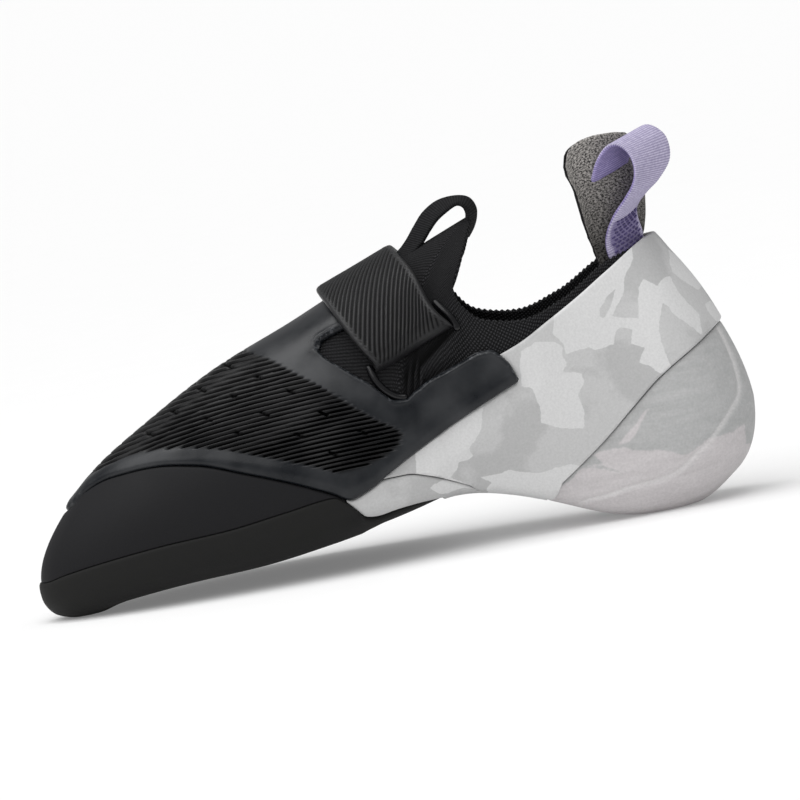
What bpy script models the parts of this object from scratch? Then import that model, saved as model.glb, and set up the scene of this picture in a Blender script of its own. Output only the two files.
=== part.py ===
"""Climbing shoe for a right foot: a knitted bootie on a down-turned last, under moulded rubber.

Tables are in millimetres, with x measured from the toe tip to the heel, y from the wearer's inner side
(negative) to the outer side, and z up from the floor. The finished shoe is in metres, toe towards -X,
with its origin on the floor under the middle of its box.
"""

from collections import namedtuple

import bmesh
import bpy
import numpy as np

MM = 0.001
BOX_MIDDLE_X = 120.0
BOX_MIDDLE_Y = 1.0
WALL = 2.0

# Clearances: between a skin and what lies on it, between edges on a shared outline, and, in stations,
# between pieces that meet end to end.
GAP = 0.4
SEAM = 0.3
END_GAP = 0.05

SOLE_THICK = 4.0
SOLE_RIM_THICK = 2.4
RAND_THICK = 1.7
PATCH_THICK = 2.2
HEEL_RAND_THICK = 2.0
HEEL_CUP_THICK = 3.2
HEEL_CUP_RIM_THICK = 1.4
ARCH_BAND_THICK = 1.2
CORNER = 10.0
ARCH_LIFT = 7.0
ARCH_MIDDLE = 4.9
ARCH_REACH = 2.0
CREASE_ANGLE = 0.7

# Thickness tapers: how far down each section a rim thins, and how the sole is skived at its back end.
SOLE_TAPER = 0.5
HEEL_CUP_TAPER = 0.3
HEEL_CUP_SKIVE = 1.2
SKIVE_STATIONS = 2.0
SKIVE_SHARE = 0.4

Station = namedtuple(
    "Station",
    "x_edge y_in y_out z_in z_out x_top z_top half_top y_mid"
    " side_out side_up shoulder top_out top_drop x_sole",
)

# One row for each section of the last, from the back of the heel to the toe tip.
# edge: where the side meets the underside; top: collar, tongue edge or the ridge of the vamp.
STATIONS = [
    Station(229.0, 0.0, 0.0, 11.5, 11.5, 215.0, 88.0, 0.0, 0.0, 14.0, 10.5, 0.0, 23.0, 28.0, 208.0),
    Station(222.5, -13.0, 13.0, 10.5, 10.5, 211.5, 87.5, 9.5, 0.0, 13.0, 12.0, 0.0, 17.0, 28.0, 203.5),
    Station(205.0, -19.0, 19.0, 10.0, 10.0, 200.0, 84.5, 16.0, 0.0, 9.0, 16.0, 0.0, 9.5, 26.0, 194.0),
    Station(180.0, -22.0, 23.0, 12.5, 12.0, 184.0, 75.5, 23.0, 0.0, 7.0, 18.0, 0.0, 6.0, 22.0, 177.0),
    Station(158.0, -23.5, 27.5, 18.5, 16.0, 170.0, 71.3, 27.5, 0.0, 7.0, 16.0, 0.0, 4.0, 20.0, 158.0),
    Station(142.0, -27.0, 31.5, 21.5, 17.5, 156.0, 74.2, 28.5, 0.0, 6.5, 18.0, 0.15, 5.0, 21.0, 142.0),
    Station(134.0, -30.0, 33.5, 22.0, 17.8, 149.5, 84.5, 26.0, 0.0, 6.0, 20.0, 0.5, 4.5, 14.0, 133.0),
    Station(128.0, -32.0, 35.5, 22.0, 17.8, 154.4, 95.0, 18.0, 0.0, 5.5, 22.0, 0.66, 3.0, 12.0, 126.0),
    Station(121.0, -34.0, 37.5, 21.8, 17.5, 160.0, 106.0, 0.0, 0.0, 5.0, 24.0, 0.74, 2.0, 14.0, 118.0),
    Station(112.0, -36.2, 39.2, 21.4, 17.0, 143.0, 99.3, 0.0, 0.0, 5.0, 25.0, 0.75, 0.0, 10.0, 109.0),
    Station(100.0, -38.0, 40.5, 20.4, 16.2, 122.0, 90.3, 0.0, -1.5, 5.0, 25.0, 0.75, 0.0, 7.1, 98.0),
    Station(80.0, -39.2, 41.0, 18.6, 15.0, 98.0, 80.0, 0.0, -4.0, 5.0, 24.0, 0.72, 0.0, 5.2, 79.0),
    Station(56.0, -38.6, 35.0, 16.6, 13.6, 70.5, 69.5, 0.0, -7.5, 4.5, 22.0, 0.7, 0.0, 4.6, 58.0),
    Station(34.0, -35.5, 21.5, 14.4, 12.4, 46.5, 57.0, 0.0, -10.0, 3.8, 18.0, 0.68, 0.0, 4.7, 40.0),
    Station(16.0, -29.0, 5.5, 11.8, 11.2, 28.5, 46.3, 0.0, -11.8, 2.8, 13.0, 0.62, 0.0, 5.4, 27.0),
    Station(6.0, -21.5, -4.5, 10.2, 10.0, 20.8, 40.2, 0.0, -12.7, 2.2, 10.0, 0.55, 0.0, 8.8, 19.5),
    Station(3.0, -13.0, -13.0, 9.5, 9.5, 17.8, 37.0, 0.0, -13.0, 2.0, 9.0, 0.5, 0.0, 7.6, 15.0),
]
TOE = len(STATIONS) - 1
ROUND = 2 * TOE

# Underside of the last along its middle line.
SOLE_LINE = [
    (15, 3.4), (22, 3.7), (32, 5.8), (50, 7.9), (70, 8.8), (95, 12.6), (113, 16.6), (130, 19.0),
    (143, 18.6), (158, 15.5), (172, 10.6), (186, 5.2), (197, 2.9), (208, 2.4),
]

# Outlines of the rubber pieces, as height against x, seen from the side.
SOLE_RIM = [
    (-5, 12.0), (11, 13.5), (28, 18.2), (45, 20.3), (64, 21.6), (84, 24.2), (99.5, 26.0), (103, 23.8),
    (106.3, 20.4), (108.8, 18.5), (112, 18.1), (119, 19.0), (128, 19.6), (150, 20.0),
]
PATCH_LOW = [
    (-5, 32.0), (13, 32.8), (17, 35.2), (22, 39.3), (31, 42.7), (46, 44.4), (58, 43.1), (73, 38.2),
    (89, 32.0), (99, 27.3), (105, 24.2), (110, 25.8), (122, 32.2), (141, 41.6), (164, 51.2), (175, 55.0),
]
PATCH_NOTCH = [
    (90, 71.5), (103.6, 71.5), (105, 69.8), (110, 65.2), (117.3, 59.2), (121, 55.4), (124.1, 52.9),
    (128.7, 52.6), (135.9, 57.0), (147.3, 61.0), (154, 63.2), (157.4, 63.2), (160.1, 61.2), (163, 57.4),
    (164.7, 52.8), (170, 52.8),
]
PATCH_FLAP = [(90, 72.3), (103.6, 72.3), (106, 74.0), (113, 75.5), (130, 84.0)]
HEEL_RAND_TOP = [
    (140, 58.0), (154, 59.6), (166, 63.2), (177, 68.7), (188, 74.4), (198, 80.2), (206, 84.6), (213, 88.0),
    (217, 90.0), (230, 92.0),
]
HEEL_LINE = [
    (160, 13.6), (168, 13.8), (172, 15.8), (178, 19.8), (183, 23.3), (189.3, 27.9), (199.7, 36.3),
    (210, 44.2), (222.6, 51.6), (233, 57.3), (238, 59.0),
]
STRIP_TOP = [
    (100, 28.5), (117.3, 28.7), (124, 28.7), (130.4, 27.1), (138.5, 23.6), (146.7, 19.8), (150, 19.0),
    (158, 17.3), (168, 14.6), (175, 12.4), (180, 10.6),
]

# Ends of the pieces, as stations. The heel rand stops a little short of the collar.
COLLAR_EDGE = 0.985
HEEL_CUP_END = 3.5
WING_END = 4.0
SOLE_END = 7.2
STRIP_END = 9.6
RAND_END = 10.0
FLAP_END = 10.0
NOTCH_START = 10.4

# Stations and rows that every piece shares, so that facets of neighbours lie alongside.
COLUMNS = np.concatenate([np.arange(0, 9) / 3, np.arange(3, 6, 0.25), np.arange(15, 41) * 0.4])
STROBEL = -0.45
ROWS = np.array([-1, -0.72, STROBEL, -0.26, -0.08, 0.1, 0.2, 0.3, 0.4, 0.5, 0.6, 0.7, 0.8, 0.9, 1])

# The strap lies between two planes square to the instep. share runs from the ridge to each end. At the
# ridge its back edge leans down by STRAP_LEAN. STRAP_EASE is the degree of the curve that bridges hollows.
# Each end's height, along the planes, goes from the front edge to the back one.
INSTEP = np.array([0.877, 0.0, 0.48])
STRAP_FRONT = 135.2
STRAP_BACK = 163.8
STRAP_STATIONS = (4.0, 11.5)
STRAP_LEAN = 1.8
STRAP_LEAN_REACH = 0.6
STRAP_EASE = 4
STRAP_ENDS_IN = (-3.4, -7.5)
STRAP_ENDS_OUT = (-8.0, -12.0)
StrapRow = namedtuple("StrapRow", "share low high")
STRAP_INNER_SIDE = [
    StrapRow(0.0, 4.2, 7.2), StrapRow(0.3, 4.0, 7.1), StrapRow(0.7, 3.5, 6.8), StrapRow(0.85, 2.6, 5.8),
    StrapRow(0.94, 1.3, 4.0), StrapRow(1.0, 0.5, 2.3),
]
STRAP_OUTER_SIDE = [
    StrapRow(0.0, 4.2, 7.2), StrapRow(0.3, 4.0, 7.0), StrapRow(0.6, 3.3, 6.2), StrapRow(1.0, 3.0, 5.2),
]

TabRow = namedtuple("TabRow", "z x_front x_back half")
TAB_ROWS = [
    TabRow(79.0, 203.0, 215.4, 11.4),
    TabRow(86.5, 200.2, 212.2, 11.4),
    TabRow(91.0, 197.6, 214.4, 13.4),
    TabRow(98.0, 195.0, 216.2, 15.0),
    TabRow(110.0, 193.4, 216.8, 15.6),
    TabRow(118.0, 193.0, 215.8, 15.0),
    TabRow(125.0, 193.6, 213.4, 14.0),
]
TAB_TOP = [(0.0, 124.8), (0.45, 124.2), (0.7, 122.6), (0.85, 120.4), (0.95, 117.0), (1.0, 112.5)]
TAB_THICK = 2.4

BandRow = namedtuple("BandRow", "x y z across_x across_y across_z")
HEEL_LOOP = [
    BandRow(207.6, -13.0, 89.6, 7.2, 6.4, 2.2),
    BandRow(209.2, -14.6, 96.0, 5.8, 7.8, 0.6),
    BandRow(212.8, -15.4, 102.5, 4.8, 8.6, -1.0),
    BandRow(217.8, -15.4, 108.0, 5.6, 8.2, -1.6),
    BandRow(221.0, -14.4, 113.2, 6.6, 7.6, -0.8),
    BandRow(220.4, -13.4, 117.8, 7.2, 7.0, 0.8),
    BandRow(217.0, -13.2, 119.8, 6.8, 7.2, 2.0),
    BandRow(213.4, -13.2, 117.0, 6.6, 7.2, 2.0),
    BandRow(211.6, -13.2, 111.0, 6.8, 7.0, 1.0),
]
HEEL_LOOP_THICK = 1.6
TONGUE_LOOP_HALF = 4.5
TONGUE_LOOP_LINE = [
    (127.0, 93.7), (131.0, 95.4), (135.0, 97.8), (138.4, 101.2), (142.4, 105.8), (147.0, 109.8),
    (152.4, 111.8), (157.6, 111.2), (160.9, 108.6), (161.4, 106.0), (160.8, 103.4),
]
TONGUE_LOOP = [BandRow(x, 0.0, z, 0.0, TONGUE_LOOP_HALF, 0.0) for x, z in TONGUE_LOOP_LINE]
TONGUE_LOOP_THICK = 1.5


def steps(count, low, high):
    return np.linspace(low, high, count)


def monotone(knots, values, at):
    """Cubic through the knots that never overshoots: each slope is a harmonic mean of its neighbours."""
    knots, values, at = (np.asarray(v, float) for v in (knots, values, at))
    width = np.diff(knots)
    rise = np.diff(values) / width
    slope = np.zeros_like(values)
    same_way = rise[:-1] * rise[1:] > 0
    before, after = 2 * width[1:] + width[:-1], width[1:] + 2 * width[:-1]
    safe = np.where(same_way, rise[:-1], 1.0), np.where(same_way, rise[1:], 1.0)
    mean = (before + after) / (before / safe[0] + after / safe[1])
    slope[1:-1] = np.where(same_way, mean, 0.0)
    slope[0], slope[-1] = rise[0], rise[-1]
    at = np.clip(at, knots[0], knots[-1])
    i = np.clip(np.searchsorted(knots, at, side="right") - 1, 0, len(width) - 1)
    u = (at - knots[i]) / width[i]
    return (
        values[i] * (1 + 2 * u) * (1 - u) ** 2
        + slope[i] * width[i] * u * (1 - u) ** 2
        + values[i + 1] * u * u * (3 - 2 * u)
        + slope[i + 1] * width[i] * u * u * (u - 1)
    )


def smooth_loop(values, at):
    """Periodic cubic spline through values at 0, 1, 2 and so on, with continuous curvature."""
    values = np.asarray(values, float)
    count = len(values)
    ring = np.roll(np.eye(count), 1, 0) + np.roll(np.eye(count), -1, 0) + 4 * np.eye(count)
    slope = np.linalg.solve(ring, 3 * (np.roll(values, -1) - np.roll(values, 1)))
    at = np.mod(at, count)
    i = np.floor(at).astype(int) % count
    j, u = (i + 1) % count, at - np.floor(at)
    return (
        values[i] * (1 + 2 * u) * (1 - u) ** 2
        + slope[i] * u * (1 - u) ** 2
        + values[j] * u * u * (3 - 2 * u)
        + slope[j] * u * u * (u - 1)
    )


def table(rows):
    """Height against x from a short table of (x, height) rows."""
    xs, heights = zip(*rows)
    return lambda x: monotone(xs, heights, x)


def around(inner, outer=None):
    """One column once round the shoe: the inner side from heel to toe, then the outer side back."""
    return list(inner) + list(outer or inner)[TOE - 1 : 0 : -1]


def column(name):
    return [getattr(row, name) for row in STATIONS]


TOP_SIDES = (
    [row.y_mid - row.half_top for row in STATIONS],
    [row.y_mid + row.half_top for row in STATIONS],
)
LOOPS = {
    "x_edge": around(column("x_edge")),
    "y_edge": around(column("y_in"), column("y_out")),
    "z_edge": around(column("z_in"), column("z_out")),
    "y_sole": around([(row.y_in + row.y_out) / 2 for row in STATIONS]),
    "y_top": around(*TOP_SIDES),
}
for name in ("x_top", "z_top", "side_out", "side_up", "shoulder", "top_out", "top_drop", "x_sole"):
    LOOPS[name] = around(column(name))
MONOTONE_LOOPS = ("x_top", "z_top", "y_top", "shoulder", "top_out", "top_drop", "x_sole", "y_sole")


def ring(name, a):
    """One column at station a, where a runs 0 to 2 * TOE once round the shoe."""
    values = LOOPS[name]
    if name not in MONOTONE_LOOPS:
        return smooth_loop(values, a)
    laps = np.arange(-ROUND, 2 * ROUND + 1)
    return monotone(laps, [values[k % ROUND] for k in laps], a)


def bezier(points, u):
    p, q, r, s = points
    u = u[..., None]
    return p * (1 - u) ** 3 + 3 * q * u * (1 - u) ** 2 + 3 * r * u * u * (1 - u) + s * u**3


UNDERSIDE = table(SOLE_LINE)


def last(a, t):
    """Outside of the bootie at station a: t is -1 under the foot, 0 at the edge and 1 at the top.

    Each section is two Bezier curves that share their tangent at the edge. The arch turns in sooner.
    """
    a, t = np.broadcast_arrays(np.asarray(a, float), np.asarray(t, float))
    edge = np.stack([ring("x_edge", a), ring("y_edge", a), ring("z_edge", a)], -1)
    top = np.stack([ring("x_top", a), ring("y_top", a), ring("z_top", a)], -1)
    ahead, behind = a + 0.05, a - 0.05
    along = np.stack([ring(n, ahead) - ring(n, behind) for n in ("x_edge", "y_edge")], -1)
    along /= np.linalg.norm(along, axis=-1, keepdims=True)
    zero = np.zeros_like(a)
    outward = np.stack([-along[..., 1], along[..., 0], zero], -1)
    up = np.array([0.0, 0.0, 1.0])
    rise = outward * ring("side_out", a)[..., None] + up * ring("side_up", a)[..., None]
    level = (edge - top) * np.array([1.0, 1.0, 0.0])
    crown = (
        top
        + level * ring("shoulder", a)[..., None]
        + outward * ring("top_out", a)[..., None]
        - up * ring("top_drop", a)[..., None]
    )
    side = bezier((edge, edge + rise, crown, top), np.clip(t, 0, 1))
    x_sole = ring("x_sole", a)
    middle = np.stack([x_sole, ring("y_sole", a), UNDERSIDE(x_sole)], -1)
    reach = (edge - middle) * np.array([0.5, 0.5, 0.0])
    lap = np.mod(a, ROUND)
    arch = np.exp(-(((np.minimum(lap, ROUND - lap) - ARCH_MIDDLE) / ARCH_REACH) ** 2))
    turn = rise / np.linalg.norm(rise, axis=-1, keepdims=True) * (CORNER - ARCH_LIFT * arch)[..., None]
    under = bezier((middle, middle + reach, edge - turn, edge), np.clip(t + 1, 0, 1))
    return np.where((t < 0)[..., None], under, side)


def skin(a, t, offset=0.0):
    """The last grown by offset along its normal, which is taken just inside the ends of each section."""
    a, t = np.broadcast_arrays(np.asarray(a, float), np.asarray(t, float))
    step_a, step_t = 0.02, 0.01
    within = np.clip(t, -0.97, 0.97)
    along = last(a + step_a, within) - last(a - step_a, within)
    across = last(a, within + step_t) - last(a, within - step_t)
    normal = np.cross(across, along)
    normal /= np.linalg.norm(normal, axis=-1, keepdims=True)
    return last(a, t) + normal * np.asarray(offset, float)[..., None]


def crossing(a, line, low=-0.7, high=1.0):
    """The t at which each section first rises through the side-view line z = line(x)."""
    a = np.asarray(a, float)
    ts = steps(321, low, high)
    points = last(a[:, None], ts[None, :])
    above = points[..., 2] - line(points[..., 0])
    first = np.argmax(above > 0, axis=1)
    k = np.clip(first, 1, len(ts) - 1)
    row = np.arange(len(a))
    share = above[row, k - 1] / (above[row, k - 1] - above[row, k])
    found = ts[k - 1] + np.clip(share, 0, 1) * (ts[k] - ts[k - 1])
    return np.where(above.max(axis=1) <= 0, high, np.where(first == 0, low, found))


def slab(name, inner, outer, material, keep=None):
    """A closed solid between two matching grids of points, where points a hundredth apart are one.

    keep says which cells of the grid are made.
    """
    rows, cols = inner.shape[:2]
    _, first, index = np.unique(
        np.round(outer.reshape(-1, 3), 2), axis=0, return_index=True, return_inverse=True
    )
    index = index.reshape(rows, cols)
    corners = np.stack([index[:-1, :-1], index[:-1, 1:], index[1:, 1:], index[1:, :-1]], -1)
    if keep is not None:
        corners = corners[keep]
    cells = []
    for cell in corners.reshape(-1, 4).tolist():
        cell = [v for k, v in enumerate(cell) if v != cell[k - 1]]
        if len(set(cell)) >= 3:
            cells.append(cell)
    edges = {}
    for cell in cells:
        for u, v in zip(cell, cell[1:] + cell[:1]):
            if edges.pop((v, u), None) is None:
                edges[(u, v)] = True
    count = len(first)
    faces = cells + [[v + count for v in reversed(cell)] for cell in cells]
    faces += [[v, u, u + count, v + count] for u, v in edges]
    points = np.concatenate([outer.reshape(-1, 3)[first], inner.reshape(-1, 3)[first]])
    return solid(name, points, faces, material)


def solid(name, points, faces, material):
    """A mesh object from points in the tables' millimetres, with its faces turned outwards."""
    placed = (points - np.array([BOX_MIDDLE_X, BOX_MIDDLE_Y, 0.0])) * MM
    mesh = bpy.data.meshes.new(name)
    mesh.from_pydata(placed.tolist(), [], faces)
    work = bmesh.new()
    work.from_mesh(mesh)
    loose = [v for v in work.verts if not v.link_faces]
    bmesh.ops.delete(work, geom=loose, context="VERTS")
    bmesh.ops.recalc_face_normals(work, faces=work.faces)
    work.to_mesh(mesh)
    work.free()
    mesh.shade_smooth()
    mesh.set_sharp_from_angle(angle=CREASE_ANGLE)
    mesh.materials.append(material)
    made = bpy.data.objects.new(name, mesh)
    shoe.objects.link(made)
    return made


def finish(name, colour, roughness):
    made = bpy.data.materials.new(name)
    made.use_nodes = True
    shader = made.node_tree.nodes["Principled BSDF"]
    shader.inputs["Base Color"].default_value = (*colour, 1.0)
    shader.inputs["Roughness"].default_value = roughness
    return made


def columns(start, end, extra=()):
    """Shared stations between start and end, with both ends, on the inner side of the shoe."""
    inside = COLUMNS[(COLUMNS > start + 0.01) & (COLUMNS < end - 0.01)]
    return np.unique(np.concatenate([[start, end], inside, extra]))


def across(low, high):
    """Shared rows of t kept between two edges, which are one value for each station."""
    return np.clip(ROWS[None, :], low[:, None], high[:, None])


def halves(a, t_in, t_out, offset):
    """Skin on the inner side at stations a, over the shared middle row, to the outer side."""
    offset = np.broadcast_arrays(np.asarray(offset, float), t_in)[0]
    near, far = skin(a[:, None], t_in, offset), skin(ROUND - a[:, None], t_out, offset)
    return np.concatenate([near, far[:, -2::-1]], axis=1)


def floored(points):
    """Flat spots on the floor where the rubber would dip below it."""
    points[..., 2] = np.maximum(points[..., 2], 0.0)
    return points


def line_at(rows, a, shift=0.0):
    line = table(rows)
    return crossing(a, lambda x: line(x) + shift, low=-1.0)


def upper():
    near = columns(0, TOE)
    a = np.concatenate([near, ROUND - near[-2::-1]])
    t = ROWS[ROWS >= STROBEL]
    slab("upper", skin(a[:, None], t, -WALL), skin(a[:, None], t), KNIT)


def insole():
    a = columns(0, TOE)
    t = np.tile(np.append(STROBEL - 0.022, ROWS[ROWS < STROBEL][::-1]), (len(a), 1))
    slab("insole", halves(a, t, t, -WALL), halves(a, t, t, -0.15), BOARD)


def underfoot(name, a, outline, thick, material):
    """Rubber from an outline on the inner side, under the foot, to the same outline on the outer side."""
    rims = [line_at(outline, side, -SEAM) for side in (a, ROUND - a)]
    floor = np.full(len(a), -1.0)
    t_in, t_out = (across(floor, rim)[:, ::-1] for rim in rims)
    inner = halves(a, t_in, t_out, GAP)
    outer = halves(a, t_in, t_out, GAP + thick(a[:, None], t_in, rims[0][:, None]))
    slab(name, inner, floored(outer), material)


def sole_thickness(a, t, rim):
    """Thinner at the rim, and skived down towards the back end."""
    full = SOLE_RIM_THICK + (SOLE_THICK - SOLE_RIM_THICK) * np.clip((rim - t) / SOLE_TAPER, 0, 1)
    return full * (SKIVE_SHARE + (1 - SKIVE_SHARE) * np.clip((a - SOLE_END) / SKIVE_STATIONS, 0, 1))


def cup_thickness(a, t, rim):
    """Thinner at the rim and towards the front end."""
    share = np.clip((rim - t) / HEEL_CUP_TAPER, 0, 1) * np.clip((HEEL_CUP_END - a) / HEEL_CUP_SKIVE, 0, 1)
    return HEEL_CUP_RIM_THICK + (HEEL_CUP_THICK - HEEL_CUP_RIM_THICK) * share


def toe_rand():
    near = columns(RAND_END, TOE)
    a = np.concatenate([near, ROUND - near[-2::-1]])
    low, high = line_at(SOLE_RIM, a, SEAM), line_at(PATCH_LOW, a, -SEAM)
    t = across(np.minimum(low, high), high)
    slab("toe_rand", skin(a[:, None], t, GAP), skin(a[:, None], t, GAP + RAND_THICK), RAND)


def toe_patch():
    """From the edge of the toe rand over the vamp, with a wing down each side and a notch for the strap."""
    a = columns(WING_END + END_GAP, TOE)
    behind, beside = a < FLAP_END - 0.01, a < NOTCH_START - 0.01
    sides = []
    for side in (a, ROUND - a):
        low = line_at(PATCH_LOW, side, SEAM)
        notch = np.maximum(line_at(PATCH_NOTCH, side), low)
        corner = notch[np.argmin(np.abs(a - NOTCH_START))]
        notch = np.where(beside, notch, np.maximum(corner, low))
        flap = np.where(beside, np.where(behind, 1.0, line_at(PATCH_FLAP, side)), notch)
        sides.append(np.concatenate([across(low, notch), across(flap, np.ones_like(a))], axis=1))
    count = len(ROWS)
    keep = np.ones((len(a) - 1, 4 * count - 2), bool)
    keep[a[:-1] < NOTCH_START - 0.01, count - 1] = False
    keep[a[:-1] < NOTCH_START - 0.01, 3 * count - 2] = False
    keep[a[:-1] < FLAP_END - 0.01, count - 1 : 3 * count - 1] = False
    grids = [halves(a, sides[0], sides[1], GAP + extra) for extra in (0.0, PATCH_THICK)]
    slab("toe_patch", grids[0], grids[1], PATCH, keep)


def heel_rand():
    """Sling rand: over the heel cup's edge, forwards under each wing to a point beside the sole."""
    near = columns(0, STRIP_END, extra=(HEEL_CUP_END + END_GAP, WING_END + 0.02))
    a = np.concatenate([-near[:0:-1], near])
    folded, side = np.abs(a), np.mod(a, ROUND)
    over_cup = folded < HEEL_CUP_END + 0.02
    low = np.where(over_cup, line_at(HEEL_LINE, side, SEAM), line_at(STRIP_TOP, side, SEAM))
    over_wing = folded < WING_END + 0.01
    low = np.where(over_wing, low, np.minimum(low, line_at(PATCH_LOW, side)))
    high = np.where(over_wing, line_at(HEEL_RAND_TOP, side, -SEAM), line_at(PATCH_LOW, side, -SEAM))
    high = np.minimum(np.maximum(high, low), COLLAR_EDGE)
    t = across(low, high)
    slab("heel_rand", skin(side[:, None], t, GAP), skin(side[:, None], t, GAP + HEEL_RAND_THICK), CAMO)


def arch_band():
    """Light band under the arch, with an arm along each side above the sole."""
    back, end = HEEL_CUP_END + END_GAP, SOLE_END - END_GAP
    a = columns(back, STRIP_END, extra=(end,))
    under = a < SOLE_END - 0.01
    sides = []
    for side in (a, ROUND - a):
        high = np.minimum(line_at(STRIP_TOP, side, -SEAM), line_at(PATCH_LOW, side, -SEAM))
        arm = np.minimum(line_at(SOLE_RIM, side, SEAM), high)
        arm_rows = across(arm, high)[:, ::-1]
        rest = np.where(under[:, None], across(np.full(len(a), -1.0), arm)[:, ::-1], arm[:, None])
        sides.append(np.concatenate([arm_rows, rest], axis=1))
    count = len(ROWS)
    keep = np.ones((len(a) - 1, 4 * count - 2), bool)
    keep[a[:-1] > end - 0.01, count - 1 : 3 * count - 1] = False
    grids = [halves(a, sides[0], sides[1], GAP + extra) for extra in (0.0, ARCH_BAND_THICK)]
    slab("arch_band", grids[0], grids[1], BAND, keep)


def strap_line(plane, mirrored):
    """Where a plane square to the instep meets the last, from the ridge down: stations, t and points."""
    a = steps(281, *STRAP_STATIONS)
    side = ROUND - a if mirrored else a
    ts = steps(201, 0.1, 1.0)
    past = last(side[:, None], ts[None, :]) @ INSTEP - plane
    k = np.clip(np.argmax(past > 0, axis=1), 1, len(ts) - 1)
    row = np.arange(len(a))
    share = past[row, k - 1] / (past[row, k - 1] - past[row, k])
    t = ts[k - 1] + np.clip(share, 0, 1) * (ts[k] - ts[k - 1])
    met = (past.max(axis=1) > 0) & (past[:, 0] < 0)
    side, t = side[met][::-1], t[met][::-1]
    return side, t, last(side, t)


def strap_side(rows, ends, mirrored, count):
    """Points of the last under the strap down one side, and the strap's low and high levels over them.

    Points are shared out by length along each line, and a polynomial through them bridges the hollows.
    The strap lies closer behind than in front at the ridge.
    """
    square = np.array([-INSTEP[2], 0.0, INSTEP[0]])
    shares = steps(count, 0, 1)
    powers = np.vander(shares, STRAP_EASE + 1)
    knots, low, high = zip(*rows)
    levels = [monotone(knots, level, shares) for level in (low, high)]
    lean = STRAP_LEAN * np.clip(1 - shares / STRAP_LEAN_REACH, 0, 1)
    grid, offsets = [], []
    for behind, plane in zip(steps(6, 0, 1), steps(6, STRAP_FRONT, STRAP_BACK)):
        side, t, points = strap_line(plane, mirrored)
        run = np.append(0, np.cumsum(np.linalg.norm(np.diff(points, axis=0), axis=1)))
        end_height = ends[0] + (ends[1] - ends[0]) * behind
        at = shares * np.interp(-end_height, -(points @ square), run)
        under = last(np.interp(at, run, side), np.interp(at, run, t))
        grid.append(powers @ np.polyfit(shares, under, STRAP_EASE))
        offsets.append([level - behind * lean for level in levels])
    return np.array(grid), np.moveaxis(np.array(offsets), 1, 0)


def strap():
    near, near_levels = strap_side(STRAP_INNER_SIDE, STRAP_ENDS_IN, False, 12)
    far, far_levels = strap_side(STRAP_OUTER_SIDE, STRAP_ENDS_OUT, True, 10)
    near[:, 0] = (near[:, 0] + far[:, 0]) / 2
    whole = np.concatenate([near[:, ::-1], far[:, 1:]], axis=1)
    levels = np.concatenate([near_levels[..., ::-1], far_levels[..., 1:]], axis=2)
    lift = normals_of(whole)
    slab("strap", whole + lift * levels[0][..., None], whole + lift * levels[1][..., None], STRAP)


def normals_of(points):
    """Unit normals of a grid of points, from the differences between its neighbours."""
    normal = np.cross(np.gradient(points, axis=0), np.gradient(points, axis=1))
    return normal / np.linalg.norm(normal, axis=-1, keepdims=True)


def resampled(rows, count):
    rows = np.array(rows, float)
    at = steps(count, 0, len(rows) - 1)
    return np.stack([monotone(np.arange(len(rows)), rows[:, k], at) for k in range(rows.shape[1])], -1)


def heel_tab():
    """Pull tab that stands up from inside the collar: a U in plan, with rounded front corners."""
    turn = steps(13, -1, 1)
    top = monotone(*zip(*TAB_TOP), np.abs(turn))
    low = TAB_ROWS[0].z
    z = low + (top - low)[None, :] * steps(10, 0, 1)[:, None]
    x_front, x_back, half = (monotone(*zip(*[(r.z, r[k]) for r in TAB_ROWS]), z) for k in (1, 2, 3))
    angle = turn[None, :] * np.pi / 2
    outer = np.stack([x_front + (x_back - x_front) * np.cos(angle), half * np.sin(angle), z], -1)
    slab("heel_tab", outer + normals_of(outer) * TAB_THICK, outer, TAB)


def band(name, rows, count, thick, material):
    """A flat tape through rows of middle points and half-width directions."""
    rows = resampled(rows, count)
    middle, half = rows[:, :3], rows[:, 3:]
    points = np.stack([middle + half * share for share in steps(4, -1, 1)], 1)
    lift = normals_of(points) * thick / 2
    slab(name, points - lift, points + lift, material)


for leftover in list(bpy.data.objects):
    bpy.data.objects.remove(leftover)
shoe = bpy.data.collections.new("climbing_shoe")
bpy.context.scene.collection.children.link(shoe)
KNIT = finish("black_knit", (0.012, 0.012, 0.014), 0.85)
BOARD = finish("insole_board", (0.09, 0.08, 0.07), 0.9)
SOLE = finish("sole_rubber", (0.02, 0.02, 0.021), 0.75)
RAND = finish("rand_rubber", (0.015, 0.015, 0.016), 0.65)
PATCH = finish("patch_rubber", (0.01, 0.01, 0.012), 0.45)
CAMO = finish("printed_rubber", (0.55, 0.55, 0.55), 0.7)
CUP = finish("grey_rubber", (0.42, 0.42, 0.43), 0.7)
BAND = finish("light_rubber", (0.5, 0.5, 0.5), 0.7)
STRAP = finish("strap_rubber", (0.01, 0.01, 0.012), 0.5)
TAB = finish("grey_fabric", (0.35, 0.35, 0.36), 0.9)
WEBBING = finish("lilac_webbing", (0.38, 0.32, 0.62), 0.8)
TAPE = finish("black_tape", (0.012, 0.012, 0.013), 0.85)

upper()
insole()
underfoot("outsole", columns(SOLE_END, TOE), SOLE_RIM, sole_thickness, SOLE)
underfoot("heel_cup", columns(0, HEEL_CUP_END), HEEL_LINE, cup_thickness, CUP)
toe_rand()
toe_patch()
heel_rand()
arch_band()
strap()
heel_tab()
band("heel_loop", HEEL_LOOP, 19, HEEL_LOOP_THICK, WEBBING)
band("tongue_loop", TONGUE_LOOP, 17, TONGUE_LOOP_THICK, TAPE)
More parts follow.
